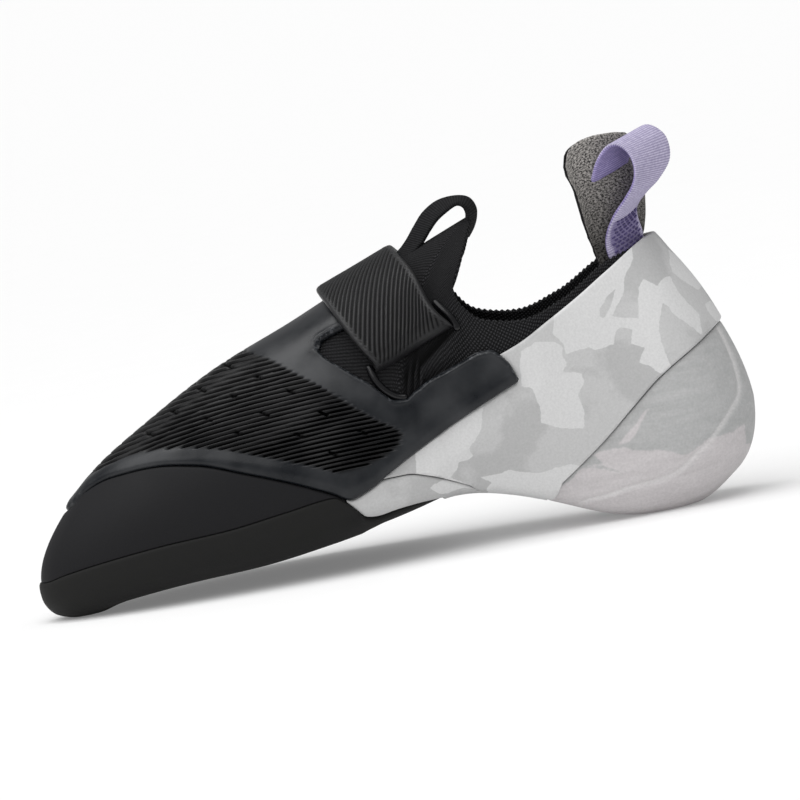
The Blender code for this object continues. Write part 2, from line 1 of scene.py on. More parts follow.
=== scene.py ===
"""Looks of a climbing shoe for a right foot: a knitted bootie under moulded black and printed grey rubber.

Tables are in millimetres, with x measured from the toe tip to the heel, y from the wearer's inner side
(negative) to the outer side, and z up from the floor. place() turns them into the frame's metres.
Side-view tables hold x and the height that the photograph's angle shows, see seen_height().
"""

import math
from collections import namedtuple

import bpy
import numpy as np
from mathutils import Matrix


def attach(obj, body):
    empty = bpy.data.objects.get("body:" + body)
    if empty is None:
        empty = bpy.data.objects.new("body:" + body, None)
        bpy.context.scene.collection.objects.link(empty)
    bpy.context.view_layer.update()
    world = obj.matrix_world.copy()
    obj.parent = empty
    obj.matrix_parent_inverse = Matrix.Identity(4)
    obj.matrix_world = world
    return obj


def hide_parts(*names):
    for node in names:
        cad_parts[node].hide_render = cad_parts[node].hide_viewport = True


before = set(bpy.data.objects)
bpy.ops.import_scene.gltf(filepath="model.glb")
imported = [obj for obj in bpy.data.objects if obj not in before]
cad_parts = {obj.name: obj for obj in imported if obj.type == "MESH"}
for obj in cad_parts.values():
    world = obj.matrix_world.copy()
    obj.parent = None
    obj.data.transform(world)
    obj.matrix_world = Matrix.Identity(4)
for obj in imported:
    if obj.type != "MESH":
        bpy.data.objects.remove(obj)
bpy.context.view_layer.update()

MM = 0.001
BOX_MIDDLE = np.array([120.0, 1.0, 0.0])

# The photograph's view, in metres, with its far end past the floor's.
VIEW_TILT = math.radians(4.5)
VIEW_ROLL = math.radians(10.19)
VIEW_TARGET = np.array([0.0061, 0.0, 0.0499])
VIEW_DISTANCE = 2.0
VIEW_WIDTH = 0.2619
VIEW_FAR_END = 500.0
SENSOR = 36.0

# The studio, in metres: rings of the floor, and for each lamp what sets its spread, its power and its place.
FLOOR_RINGS = np.array([0.0, 0.5, 2.0, 10.0, 60.0, 200.0])
FLOOR_GLOW = 0.17
SURROUND_POWER = 0.4
LAMPS = [
    ("high_sun", "SUN", "angle", math.radians(80), 2.5, (-0.35, -0.4, 1.0)),
    ("gloss_panel", "AREA", "size", 0.35, 1.1, (-0.3, 0.1, 1.1)),
]
LAMP_TARGET = (0.0, 0.0, 0.04)

# Thicknesses and gaps in millimetres, but END_GAP and SKIVE_STATIONS in stations and the tapers in t.
# CORNER is how far the turn of the side reaches under the foot, which the arch and forefoot lifts shorten.
FLOOR_THICK = 20.0
WALL = 2.0
GAP = 0.4
SEAM = 0.08
END_GAP = 0.01
SOLE_THICK = 4.0
SOLE_RIM_THICK = 2.4
RAND_THICK = 1.7
PATCH_THICK = 2.2
HEEL_RAND_THICK = 2.0
HEEL_CUP_THICK = 3.2
HEEL_CUP_RIM_THICK = 1.0
ARCH_BAND_THICK = 1.2
CORNER = 10.0
ARCH_LIFT = 7.0
ARCH_MIDDLE = 4.9
ARCH_REACH = 2.0
FORE_LIFT = [(6.0, 0.0), (9.0, 4.3), (14.5, 4.3), (16.0, 6.0)]
SOLE_TAPER = 0.5
HEEL_CUP_TAPER = 0.3
SKIVE_STATIONS = 3.0
SKIVE_SHARE = 0.12

Station = namedtuple(
    "Station",
    "x_edge y_in y_out z_in z_out x_top z_top half_top y_mid"
    " side_out side_up shoulder top_out top_drop x_sole",
)

# The last, one row for each section from the back of the heel to the toe tip.
# edge: where the side meets the underside; top: collar, tongue edge or the ridge of the vamp.
STATIONS = [
    Station(229.0, 0.0, 0.0, 11.5, 11.5, 215.0, 88.0, 0.0, 0.0, 14.0, 10.5, 0.0, 23.0, 28.0, 208.0),
    Station(222.5, -13.0, 13.0, 10.5, 10.5, 211.5, 87.5, 9.5, 0.0, 13.0, 12.0, 0.0, 17.0, 28.0, 203.5),
    Station(205.0, -19.0, 19.0, 10.0, 10.0, 200.0, 84.5, 16.0, 0.0, 9.0, 16.0, 0.0, 9.5, 26.0, 194.0),
    Station(180.0, -22.0, 23.0, 12.5, 12.0, 184.0, 75.5, 23.0, 0.0, 7.0, 18.0, 0.0, 6.0, 22.0, 177.0),
    Station(158.0, -23.5, 27.5, 18.5, 16.0, 170.0, 71.3, 27.5, 0.0, 7.0, 16.0, 0.0, 4.0, 20.0, 158.0),
    Station(142.0, -27.0, 31.5, 21.5, 17.5, 156.0, 74.2, 28.5, 0.0, 6.5, 18.0, 0.15, 5.0, 21.0, 142.0),
    Station(134.0, -30.0, 33.5, 22.0, 17.8, 149.5, 84.5, 26.0, 0.0, 6.0, 20.0, 0.5, 4.5, 14.0, 133.0),
    Station(128.0, -32.0, 35.5, 22.0, 17.8, 154.4, 95.0, 18.0, 0.0, 5.5, 22.0, 0.66, 3.0, 12.0, 126.0),
    Station(121.0, -34.0, 37.5, 21.8, 17.5, 160.0, 106.0, 0.0, 0.0, 5.0, 24.0, 0.74, 2.0, 14.0, 118.0),
    Station(112.0, -36.2, 39.2, 21.4, 17.0, 143.0, 99.3, 0.0, 0.0, 5.0, 25.0, 0.75, 0.0, 10.0, 109.0),
    Station(100.0, -38.0, 40.5, 20.4, 16.2, 122.0, 90.3, 0.0, -1.5, 5.0, 25.0, 0.75, 0.0, 7.1, 98.0),
    Station(80.0, -39.2, 41.0, 18.6, 15.0, 98.0, 80.0, 0.0, -4.0, 5.0, 24.0, 0.72, 0.0, 5.2, 79.0),
    Station(56.0, -38.6, 35.0, 16.6, 13.6, 70.5, 69.5, 0.0, -7.5, 4.5, 22.0, 0.7, 0.0, 4.6, 58.0),
    Station(34.0, -35.5, 21.5, 14.4, 12.4, 46.5, 57.0, 0.0, -10.0, 3.8, 18.0, 0.68, 0.0, 4.7, 40.0),
    Station(16.0, -29.0, 5.5, 11.8, 11.2, 28.5, 46.3, 0.0, -11.8, 2.8, 13.0, 0.62, 0.0, 5.4, 27.0),
    Station(6.0, -21.5, -4.5, 10.2, 10.0, 20.8, 40.2, 0.0, -12.7, 2.2, 10.0, 0.55, 0.0, 8.8, 19.5),
    Station(3.0, -13.0, -13.0, 9.5, 9.5, 17.8, 37.0, 0.0, -13.0, 2.0, 9.0, 0.5, 0.0, 7.6, 15.0),
]
TOE = len(STATIONS) - 1
ROUND = 2 * TOE

# Underside of the last along its middle line, and outlines of the rubber pieces as height against x.
# PATCH_OPENING goes round what the notch and the flap over it leave open.
SOLE_LINE = [
    (15, 3.9), (19, 4.6), (24.5, 6.1), (32, 7.2), (50, 8.6), (70, 9.2), (95, 12.6), (113, 16.6),
    (130, 19.0), (143, 18.6), (158, 15.5), (172, 10.6), (186, 5.2), (197, 2.9), (208, 2.4),
]
SOLE_RIM = [
    (-5, 12.2), (4, 13.2), (11, 15.3), (28, 18.5), (45, 20.5), (64, 21.7), (84, 24.2), (99.5, 26.0),
    (103, 23.8), (106.3, 20.4), (108.8, 18.5), (112, 18.1), (119, 19.0), (128, 19.6), (150, 20.0),
]
PATCH_LOW = [
    (-5, 32.0), (13, 32.8), (17, 35.2), (22, 39.3), (31, 42.7), (46, 44.4), (58, 43.1), (73, 38.2),
    (89, 32.0), (99, 27.3), (105, 24.2), (110, 25.8), (122, 32.2), (141, 41.6), (164, 51.2), (175, 55.0),
]
PATCH_NOTCH = [
    (90, 72.0), (103.3, 72.0), (103.8, 70.7), (105, 69.2), (110, 65.2), (117.3, 59.2), (121, 55.4),
    (124.1, 52.9), (128.7, 52.6), (131, 54.2), (135.9, 57.0), (147.3, 61.0), (154, 63.2), (157.4, 63.2),
    (160.1, 61.2), (163, 57.4), (164.7, 52.8), (170, 52.8),
]
PATCH_FLAP = [(90, 72.0), (103.3, 72.0), (103.8, 73.2), (105, 74.3), (108, 75.6), (113, 77.2), (130, 84.0)]
PATCH_OPENING = PATCH_NOTCH[1:-1] + [(175, 52.8), (175, 95.0)] + PATCH_FLAP[:1:-1]
HEEL_RAND_TOP = [
    (140, 58.0), (154, 59.6), (166, 63.2), (177, 68.7), (188, 74.4), (198, 80.2), (206, 84.6), (213, 88.0),
    (217, 90.0), (230, 92.0),
]
HEEL_LINE = [
    (160, 13.6), (168, 13.8), (172, 15.8), (178, 19.8), (183, 23.3), (189.3, 27.9), (199.7, 36.3),
    (210, 44.2), (222.6, 51.6), (233, 57.3), (238, 59.0),
]
STRIP_TOP = [
    (100, 28.5), (117.3, 28.7), (124, 28.7), (130.4, 27.1), (138.5, 23.6), (146.7, 19.8), (150, 19.0),
    (158, 17.3), (168, 14.6), (175, 12.4), (180, 10.6),
]

# Ends of the pieces, as stations, but COLLAR_EDGE and STROBEL in t.
COLLAR_EDGE = 0.985
HEEL_CUP_END = 3.5
WING_END = 4.1
SOLE_END = 6.0
TONGUE_TIP = 8.0
STRIP_END = 9.78
RAND_END = 9.82
FLAP_END = 9.4
NOTCH_START = 10.28
STROBEL = -0.45

# Shares of a piece's thickness that are left at its edges, and how far in its edges are rounded. FAR_AWAY
# stands for any distance past the rounding.
SOLE_EDGE = 0.74
RAND_FOOT_EDGE = 0.88
RAND_FOOT_ROUND = 0.8
STRAP_EDGE = 0.2
SOFT_EDGE = 0.25
THIN_EDGE = 0.3
EDGE_ROUND = 1.1
TAPE_EDGE_ROUND = 0.8
FAR_AWAY = 99.0

# The bootie: how much of it shows, its toothed collar, the fold under the strap's end, and the painted shade
# that darkens the slot beside it.
# Here and below, a pair of values is where a change starts and where it is complete.
KNIT_SHOWN_END = 10.8
KNIT_SHOWN_DEEP = 42.0
COLLAR_START = (0.02, 0.3)
COLLAR_ROUND = 1.0
COLLAR_PINCH = 0.95
TOOTH_HIGH = 0.6
TOOTH_PITCH = 1.9
TOOTH_REACH = 1.5
FOLD_HIGH = 2.2
FOLD_OVER_PATCH = (0.3, 3.0)
FOLD_RISE = (-0.4, 0.7)
FOLD_FALL = (0.8, 9.0)
FOLD_BACK = (153.0, 145.0)
# Where the painted shade of the slot rises, falls back, and fades out towards the back.
PAINTED_SLOT_SHADE_RISE = (-6.0, -0.5)
PAINTED_SLOT_SHADE_FALL = (-0.5, 0.6)
PAINTED_SLOT_SHADE_BACK = (150.0, 144.0)

# The heel cup, the arch band, and the printed rand over the cup, under the wings and under the foot.
CUP_SWELL = (-0.1, 1.3)
HEEL_RIDGE_HIGH = 0.6
HEEL_RIDGE_REACH = 0.65
# Strength of the painted highlight along the heel cup's raised line.
HEEL_RIDGE_PAINTED_HIGHLIGHT = 0.7
STRIP_TUCK = -0.35
STRIP_TURN = (4.1, 5.4)
STRIP_SKIVE = (0.0, 9.0)
STRIP_ROUND = 1.0
STRIP_GAP = 0.001
RAND_TO_STRIP = (HEEL_CUP_END - 0.2, HEEL_CUP_END)
RAND_UNDER_WING = (WING_END + 0.7, WING_END + 2.1)
RAND_LAP = 2.5
RAND_NARROWEST = 0.002
RAND_ROUND = 0.9
RAND_BY_WING = 0.45
RAND_WING_FADE = (0.5, 9.0)
RAND_THINNED = 0.45
RAND_THINS = (0.0, 0.3)
RAND_COVERED = (-0.15, 0.45)
RAND_COVERED_TOP = 0.36
RAND_COVERED_DROP = 0.3
HEEL_LIP = 0.006
HEEL_LIP_END = 2.0
HEEL_LIP_FADE = 1.2
HEEL_LIP_SWELL = 0.7
HEEL_LIP_SWELL_END = 2.2
HEEL_LIP_SWELL_DEEP = 9.0
HEEL_LIP_SHARPER = 0.6

# The patch round its notch: stations lie closer by the corner, ahead of which the notch closes to a slit.
# The bead on the notch's lip, its rubbed line and the swell by the lower hem are bells: middle and reach.
NOTCH_NEAR = 10.1
SLIT_FADE = 0.3
NOTCH_STRETCH = 2.5
MOUTH_STRETCH = 1.2
WING_TIP_END = 5.5
WING_TIP_WIDENS = (0.3, 3.0)
PATCH_ROUND = 1.4
PATCH_THINNEST = 0.2
NOTCH_BEAD_HIGH = 0.22
NOTCH_BEAD = (1.2, 0.7)
NOTCH_RUBBED = (0.6, 0.5)
HEM_SWELL_HIGH = 0.5
HEM_SWELL = (3.2, 2.4)

# The strap lies between two planes square to the instep; share runs from the ridge to each end.
INSTEP = np.array([0.877, 0.0, 0.48])
STRAP_FRONT = 135.2
STRAP_BACK = 163.8
STRAP_STATIONS = (4.0, 11.5)
STRAP_LEAN = 1.8
STRAP_LEAN_REACH = 0.6
STRAP_EASE = 4
STRAP_ENDS_IN = (-3.4, -7.5)
STRAP_ENDS_OUT = (-8.0, -12.0)
STRAP_END_BOW = 0.4
StrapRow = namedtuple("StrapRow", "share low high")
STRAP_INNER_SIDE = [
    StrapRow(0.0, 4.2, 7.2), StrapRow(0.3, 4.0, 7.1), StrapRow(0.7, 3.6, 6.8), StrapRow(0.88, 3.2, 6.4),
    StrapRow(0.935, 2.2, 5.4), StrapRow(0.97, 0.9, 3.6), StrapRow(1.0, 0.15, 1.4),
]
STRAP_OUTER_SIDE = [
    StrapRow(0.0, 4.2, 7.2), StrapRow(0.3, 4.0, 7.0), StrapRow(0.6, 3.3, 6.2), StrapRow(1.0, 3.0, 5.2),
]
STRAP_RIB_PITCH = 1.35
STRAP_RIB_HIGH = 0.3
STRAP_RIB_LEAN = math.radians(38)
STRAP_RIB_FADE = (0.8, 1.8)

TabRow = namedtuple("TabRow", "z x_front x_back half")
TAB_ROWS = [
    TabRow(79.0, 199.0, 215.4, 11.4),
    TabRow(86.5, 197.0, 212.6, 11.6),
    TabRow(91.0, 196.2, 214.5, 13.4),
    TabRow(98.0, 195.2, 216.2, 15.0),
    TabRow(106.0, 194.4, 217.0, 15.6),
    TabRow(112.0, 192.9, 216.8, 15.6),
    TabRow(116.5, 192.3, 216.2, 15.2),
    TabRow(121.0, 192.7, 215.0, 14.6),
    TabRow(125.0, 193.6, 213.4, 14.0),
]
TAB_TOP = [
    (0.0, 123.6), (0.15, 124.0), (0.4, 124.6), (0.64, 124.7), (0.82, 124.0), (0.92, 122.6), (0.973, 120.6),
    (1.0, 116.6),
]
TAB_THICK = 2.4
TAB_ROUND = 1.3
TAB_FAR_DROP = 1.6
TAB_FAR_TURN = (0.0, 0.7)

# Tapes, as their two edges from end to end: near is the wearer's inner side.
TapeRow = namedtuple("TapeRow", "near_x near_y near_z far_x far_y far_z crown")
HEEL_LOOP = [
    TapeRow(203.4, -12.2, 79.6, 213.4, -6.4, 86.4, 1.6),
    TapeRow(201.0, -12.6, 85.2, 213.4, -6.0, 91.3, 1.6),
    TapeRow(201.2, -13.9, 91.1, 212.6, -9.2, 96.7, 1.3),
    TapeRow(204.5, -18.0, 97.4, 213.4, -9.2, 100.3, 0.6),
    TapeRow(209.0, -20.0, 102.4, 217.0, -8.0, 103.8, 0.2),
    TapeRow(212.6, -21.0, 107.2, 221.6, -9.4, 107.3, 0.0),
    TapeRow(213.8, -20.4, 112.4, 226.0, -11.6, 113.1, 0.0),
    TapeRow(212.6, -18.6, 117.3, 226.0, -12.6, 120.0, 0.0),
    TapeRow(209.4, -17.2, 120.2, 222.2, -11.4, 124.2, 0.0),
    TapeRow(205.6, -16.4, 119.5, 218.6, -10.4, 123.8, 0.0),
    TapeRow(202.2, -15.8, 115.8, 215.4, -9.6, 120.2, -0.3),
    TapeRow(200.0, -15.4, 111.2, 213.2, -8.6, 115.5, -0.8),
    TapeRow(199.4, -14.2, 109.6, 212.4, -7.2, 114.0, -1.0),
]
HEEL_LOOP_THICK = 1.4
WEBBING_RIB_HIGH = 0.06
WEBBING_RIB_PITCH = 0.75
SEWN = (2.5, 15.5)
SEWN_HALF_WIDTH = 6.2
SEWN_FADE = (0.0, 0.6)
SEWN_SHADE = 0.75
STITCH_SPAN = (-5.6, 5.0)
STITCH_PITCH = 1.9
STITCH_LONG = 1.5
STITCH_ROW = 1.25
STITCH_SHIFT = 0.9
STITCH_ARCH = 0.25
STITCH_SUNK = 0.1
STITCH_RADIUS = 0.3
STITCH_POINTS = 7
STITCH_SIDES = 6
TONGUE_LOOP = [
    TapeRow(129.6, -3.8, 92.4, 127.0, 3.4, 94.0, 0.0),
    TapeRow(137.2, -3.6, 95.8, 133.4, 3.4, 97.2, 0.0),
    TapeRow(141.7, -3.6, 98.8, 137.2, 3.4, 100.6, 0.0),
    TapeRow(145.4, -3.6, 103.0, 140.8, 3.4, 105.0, 0.0),
    TapeRow(148.4, -3.6, 106.0, 144.4, 3.4, 108.9, 0.0),
    TapeRow(151.8, -3.6, 108.2, 149.4, 3.4, 111.7, 0.0),
    TapeRow(155.2, -3.8, 109.9, 155.2, 3.4, 112.2, 0.0),
    TapeRow(157.4, -4.0, 109.0, 159.6, 3.4, 111.0, 0.0),
    TapeRow(158.2, -4.0, 106.6, 161.4, 3.4, 107.8, 0.0),
    TapeRow(157.6, -4.0, 104.0, 161.0, 3.4, 104.4, 0.0),
    TapeRow(156.0, -4.0, 101.2, 159.6, 3.4, 101.4, 0.0),
    TapeRow(154.0, -4.0, 98.6, 157.6, 3.4, 98.8, 0.0),
]
TONGUE_LOOP_THICK = 1.5

# Moulded ribs of the patch. Grooves follow RIB_RISE, a side-view height against x that each one keeps
# its own distance from, and they stop on the two borders.
RIB_PITCH = 1.45
RIB_DEPTH = 0.9
RIB_HALF_TROUGH = 0.25
RIB_WALL = 0.1
RIB_END = 0.9
RIB_FLATTEST = 0.12
RIB_BORDER_BLEND = 0.8
RIB_RISE = [
    (5, -5.0), (20, 0.0), (35, 4.1), (48, 6.9), (57, 8.4), (65, 9.5), (76, 10.6), (90, 11.6), (105, 12.35),
    (125, 12.8),
]
RIB_PHASES = (-0.25, -0.15, 0.0, 0.15, 0.25, 0.5)
RIB_BORDER_LOW = [
    (0, 36.0), (18.9, 42.2), (25.3, 44.7), (37.6, 47.6), (45.9, 48.0), (53.4, 47.3), (60.5, 46.0),
    (67.8, 44.1), (73.7, 42.0), (83.1, 38.5), (94.9, 33.9), (104.2, 30.2), (110, 30.8), (116.3, 32.4),
    (122.9, 35.8), (124.7, 38.8), (130, 60.0),
]
RIB_BORDER_BACK = [
    (60, 95.0), (76, 77.0), (81.1, 73.9), (87.7, 69.8), (94.1, 64.6), (101.4, 59.0), (109.7, 51.5),
    (118.4, 44.3), (122.9, 41.2), (124.7, 38.8), (130, 20.0),
]
VENT_SLOTS = [
    (73.0, 71.1), (82.6, 65.4), (63.2, 64.9), (73.5, 60.7), (91.8, 59.1), (53.3, 59.3), (63.8, 55.1),
    (82.5, 53.4), (101.1, 50.1), (44.3, 53.6), (73.0, 48.8), (92.2, 44.7), (112.7, 42.0), (102.1, 36.6),
]
VENT_LONG = 3.5
VENT_WIDE = 1.0
VENT_DEEP = 1.0
VENT_WALLS = (0.3, 0.25)
VENT_WAY = (0.80, -0.60)

# In the side view: beads at both ends of the strap's slot, the knit past the fold between them, and the
# heel cup's raised line.
SLOT_BEAD = [
    [(118.0, 62.6), (118.8, 59.0), (120.2, 56.0), (122.2, 53.2), (125.2, 51.0), (129.0, 50.2)],
    [(148.2, 68.4), (148.0, 70.3), (146.6, 73.4), (144.5, 76.6), (142.6, 79.2)],
]
SLOT_BEAD_RADIUS = 1.25
SLOT_BEAD_OUT = 0.7
KNIT_FOLD = [
    (118.0, 46.6), (129.0, 54.8), (134.0, 58.6), (139.0, 62.4), (144.0, 66.2), (149.6, 70.4), (160.0, 78.0),
    (200.0, 110.0), (200.0, -40.0), (60.0, -40.0),
]
HEEL_RIDGE = [
    (232.6, 54.6), (234.4, 48.0), (235.6, 41.0), (235.6, 35.0), (234.2, 31.0), (231.0, 27.4), (226.6, 22.8),
    (221.6, 18.2), (217.0, 15.2), (213.0, 12.2), (208.0, 10.2), (203.0, 9.4), (195.0, 8.8), (189.0, 7.8),
    (182.0, 7.0), (178.0, 6.4),
]

# The end of the wing as it lies over the printed rand, as x and true height.
WING_OVER_RAND = [
    (100, 20.0), (105, 24.2), (110, 25.8), (122, 32.2), (141, 41.6), (163.6, 51.0), (164.8, 52.6),
    (163, 57.4), (160.1, 61.2), (157.4, 63.2), (147.3, 61.0), (135.9, 57.0), (120, 60.0), (100, 60.0),
]

# Print and stain: outlines in the side view of the patches that are lighter, or darker, than the ground.
PRINT_LIGHT = [
    [
        (167.2, 58.5), (172, 60.6), (178.6, 59.8), (180.8, 57.6), (180.2, 54.4), (181.2, 52), (179.2, 49.7),
        (185.2, 48), (185.8, 45.2), (182.8, 41.5), (184, 35), (183, 30.4), (180.5, 31), (175.5, 31.6),
        (173, 33.2), (169.6, 34.7), (169.9, 40), (168.7, 46.2), (165.4, 47.2), (166, 54),
    ],
    [
        (179.6, 67.5), (178.3, 62.2), (181.2, 58.2), (181.2, 55.2), (186, 55.6), (189.3, 56), (190.5, 54.6),
        (197.4, 55.4), (198.6, 59.4), (200.4, 60.4), (204, 59), (202.5, 54.6), (206.8, 52.6), (204.2, 48.4),
        (208, 46), (211, 43), (214.4, 45), (213, 50), (212.2, 57), (214, 62), (215.4, 65.8), (217.2, 64),
        (217.6, 62.2), (223.5, 56.4), (226.4, 53), (226.6, 60.5), (221.6, 67.4), (219.6, 74), (217.8, 74),
        (214.6, 71.5), (210.6, 75.2), (208.6, 72), (206.6, 62.4), (198, 64.4), (203.4, 71), (204.6, 76.5),
        (208.6, 81.8), (209, 88), (195, 88),
    ],
    [(221, 83), (220.2, 78), (220.6, 75.2), (224.5, 71.2), (228, 68), (234, 72)],
    [(229.2, 63.4), (232, 64), (236, 59), (234, 55), (231.2, 58.4), (229.6, 61)],
    [
        (147.4, 20.9), (152, 20.6), (156.5, 21.4), (161.5, 20), (167, 18.5), (171, 19.4), (177, 19.6),
        (181, 18), (172, 7), (150, 10), (148.5, 16.8), (150.6, 18.4),
    ],
    [
        (127.6, 31), (127, 25.6), (137.6, 22.2), (140, 24.6), (141.2, 26.8), (144.2, 26.8), (146.2, 28),
        (145, 30.4), (148.6, 34), (150.4, 36.4), (151.2, 38.6), (151, 40.6), (153, 46), (130, 44),
    ],
    [
        (130.4, 20.4), (134.6, 21.8), (137, 23), (141, 20.6), (144.8, 17.4), (141.5, 18.2), (134, 17.4),
        (132, 18.6),
    ],
]
PRINT_DARK = [
    [(194.3, 65.3), (195.6, 64.2), (198, 67.5), (199.5, 69.5), (201.2, 73.4), (197.5, 70.5), (195, 68)],
]
STAIN_LIGHT = [
    [
        (166, 10.5), (175.5, 14.3), (180.5, 18.4), (187, 18.2), (183.5, 21.6), (189, 22), (195, 22),
        (198.6, 20.2), (207.5, 18.6), (213.5, 16.2), (217.5, 17.6), (222, 20), (230, 20.4), (235, 22.4),
        (234.8, 16), (240, 14), (236, -4), (166, -4),
    ],
    [
        (204.8, 33), (202, 31.4), (200.4, 29.5), (196.5, 26.4), (193, 23.6), (193.5, 23), (197, 23.8),
        (199, 25.4), (201, 27.8), (203, 31),
    ],
]
STAIN_DARK = [[(181, 18.0), (187, 17.4), (193, 13.6), (187, 16.4)]]
FAR_SIDE_SHIFT = (11.0, -7.0)
FAR_SIDE_BLEND = (-3.0, 3.0)

# Steps in stations and in t to take slopes over, and how near to its ends a section's normal is taken.
EDGE_STEP = 0.05
ALONG_STEP = 0.02
ACROSS_STEP = 0.01
NORMAL_LIMIT = 0.97

# Where on the inner side on_side() looks, in stations and in t.
SIDE_STATIONS = (3.5, 12.0)
SIDE_LEVELS = (0.2, 1.0)


def hermite(start, start_slope, end, end_slope, u):
    """Cubic from start to end with a slope at both, where u runs from 0 to 1."""
    return (
        start * (1 + 2 * u) * (1 - u) ** 2
        + start_slope * u * (1 - u) ** 2
        + end * u * u * (3 - 2 * u)
        + end_slope * u * u * (u - 1)
    )


def monotone(knots, values, at):
    """Cubic through the knots that never overshoots: each slope is a harmonic mean of its neighbours."""
    knots, values, at = (np.asarray(v, float) for v in (knots, values, at))
    width = np.diff(knots)
    rise = np.diff(values) / width
    slope = np.zeros_like(values)
    same_way = rise[:-1] * rise[1:] > 0
    before, after = 2 * width[1:] + width[:-1], width[1:] + 2 * width[:-1]
    safe = np.where(same_way, rise[:-1], 1.0), np.where(same_way, rise[1:], 1.0)
    slope[1:-1] = np.where(same_way, (before + after) / (before / safe[0] + after / safe[1]), 0.0)
    slope[0], slope[-1] = rise[0], rise[-1]
    at = np.clip(at, knots[0], knots[-1])
    i = np.clip(np.searchsorted(knots, at, side="right") - 1, 0, len(width) - 1)
    u = (at - knots[i]) / width[i]
    return hermite(values[i], slope[i] * width[i], values[i + 1], slope[i + 1] * width[i], u)


def smooth_loop(values, at):
    """Periodic cubic spline through values at 0, 1, 2 and so on, with continuous curvature."""
    values = np.asarray(values, float)
    count = len(values)
    cycle = np.roll(np.eye(count), 1, 0) + np.roll(np.eye(count), -1, 0) + 4 * np.eye(count)
    slope = np.linalg.solve(cycle, 3 * (np.roll(values, -1) - np.roll(values, 1)))
    at = np.mod(at, count)
    i = np.floor(at).astype(int) % count
    j = (i + 1) % count
    return hermite(values[i], slope[i], values[j], slope[j], at - np.floor(at))


def flowing(rows, count):
    """Smooth curve through rows of numbers: Catmull-Rom, each slope half the step between its neighbours."""
    rows = np.array(rows, float)
    slope = np.gradient(rows, axis=0)
    at = np.linspace(0, len(rows) - 1, count)
    i = np.clip(at.astype(int), 0, len(rows) - 2)
    return hermite(rows[i], slope[i], rows[i + 1], slope[i + 1], (at - i)[:, None])


def table(rows):
    """Height against x from a short table of (x, height) rows."""
    xs, heights = zip(*rows)
    return lambda x: monotone(xs, heights, x)


def rounded(distance, radius):
    """Quarter circle: 0 at an edge, 1 from radius inwards."""
    short = 1 - np.clip(distance / radius, 0, 1)
    return np.sqrt(1 - short * short)


def blunt(distance, radius, share):
    """Rounded edge that keeps a share of the thickness at its very rim."""
    return share + (1 - share) * rounded(distance, radius)


def eased(value, low, high):
    """Smooth step from 0 at low to 1 at high."""
    u = np.clip((value - low) / (high - low), 0, 1)
    return u * u * (3 - 2 * u)


def bell(value, middle, reach):
    """Bell curve: 1 at the middle, and 1 / e at one reach to either side."""
    return np.exp(-(((value - middle) / reach) ** 2))


def around(inner, outer=None):
    """One column once round the shoe: the inner side from heel to toe, then the outer side back."""
    return list(inner) + list(outer or inner)[TOE - 1 : 0 : -1]


def column(name):
    """One field of every station, from heel to toe."""
    return [getattr(row, name) for row in STATIONS]


LOOPS = {
    "x_edge": around(column("x_edge")),
    "y_edge": around(column("y_in"), column("y_out")),
    "z_edge": around(column("z_in"), column("z_out")),
    "y_sole": around([(row.y_in + row.y_out) / 2 for row in STATIONS]),
    "y_top": around(
        [row.y_mid - row.half_top for row in STATIONS], [row.y_mid + row.half_top for row in STATIONS]
    ),
}
for plain in ("x_top", "z_top", "side_out", "side_up", "shoulder", "top_out", "top_drop", "x_sole"):
    LOOPS[plain] = around(column(plain))
MONOTONE_LOOPS = ("x_top", "z_top", "y_top", "shoulder", "top_out", "top_drop", "x_sole", "y_sole")
UNDERSIDE = table(SOLE_LINE)


def ring(name, a):
    """One column at station a, where a runs 0 to 2 * TOE once round the shoe."""
    values = LOOPS[name]
    if name not in MONOTONE_LOOPS:
        return smooth_loop(values, a)
    laps = np.arange(-ROUND, 2 * ROUND + 1)
    return monotone(laps, [values[k % ROUND] for k in laps], a)


def bezier(points, u):
    """Cubic Bezier curve with four control points, where u runs from 0 to 1."""
    p, q, r, s = points
    u = u[..., None]
    return p * (1 - u) ** 3 + 3 * q * u * (1 - u) ** 2 + 3 * r * u * u * (1 - u) + s * u**3


def from_heel(a):
    """Station counted forwards from the heel on either side."""
    lap = np.mod(a, ROUND)
    return np.minimum(lap, ROUND - lap)


def last(a, t):
    """Outside of the bootie at station a: t is -1 under the foot, 0 at the edge and 1 at the top.

    Each section is two Bezier curves that share their tangent at the edge.
    """
    a, t = np.asarray(a, float), np.asarray(t, float)
    edge = np.stack([ring("x_edge", a), ring("y_edge", a), ring("z_edge", a)], -1)
    top = np.stack([ring("x_top", a), ring("y_top", a), ring("z_top", a)], -1)
    along = np.stack([ring(n, a + EDGE_STEP) - ring(n, a - EDGE_STEP) for n in ("x_edge", "y_edge")], -1)
    along /= np.linalg.norm(along, axis=-1, keepdims=True)
    outward = np.stack([-along[..., 1], along[..., 0], np.zeros_like(a)], -1)
    up = np.array([0.0, 0.0, 1.0])
    rise = outward * ring("side_out", a)[..., None] + up * ring("side_up", a)[..., None]
    level = (edge - top) * np.array([1.0, 1.0, 0.0])
    crown = (
        top
        + level * ring("shoulder", a)[..., None]
        + outward * ring("top_out", a)[..., None]
        - up * ring("top_drop", a)[..., None]
    )
    side = bezier((edge, edge + rise, crown, top), np.clip(t, 0, 1))
    x_sole = ring("x_sole", a)
    middle = np.stack([x_sole, ring("y_sole", a), UNDERSIDE(x_sole)], -1)
    reach = (edge - middle) * np.array([0.5, 0.5, 0.0])
    forward = from_heel(a)
    lift = ARCH_LIFT * bell(forward, ARCH_MIDDLE, ARCH_REACH) + table(FORE_LIFT)(forward)
    turn = rise / np.linalg.norm(rise, axis=-1, keepdims=True) * (CORNER - lift)[..., None]
    under = bezier((middle, middle + reach, edge - turn, edge), np.clip(t + 1, 0, 1))
    return np.where((t < 0)[..., None], under, side)


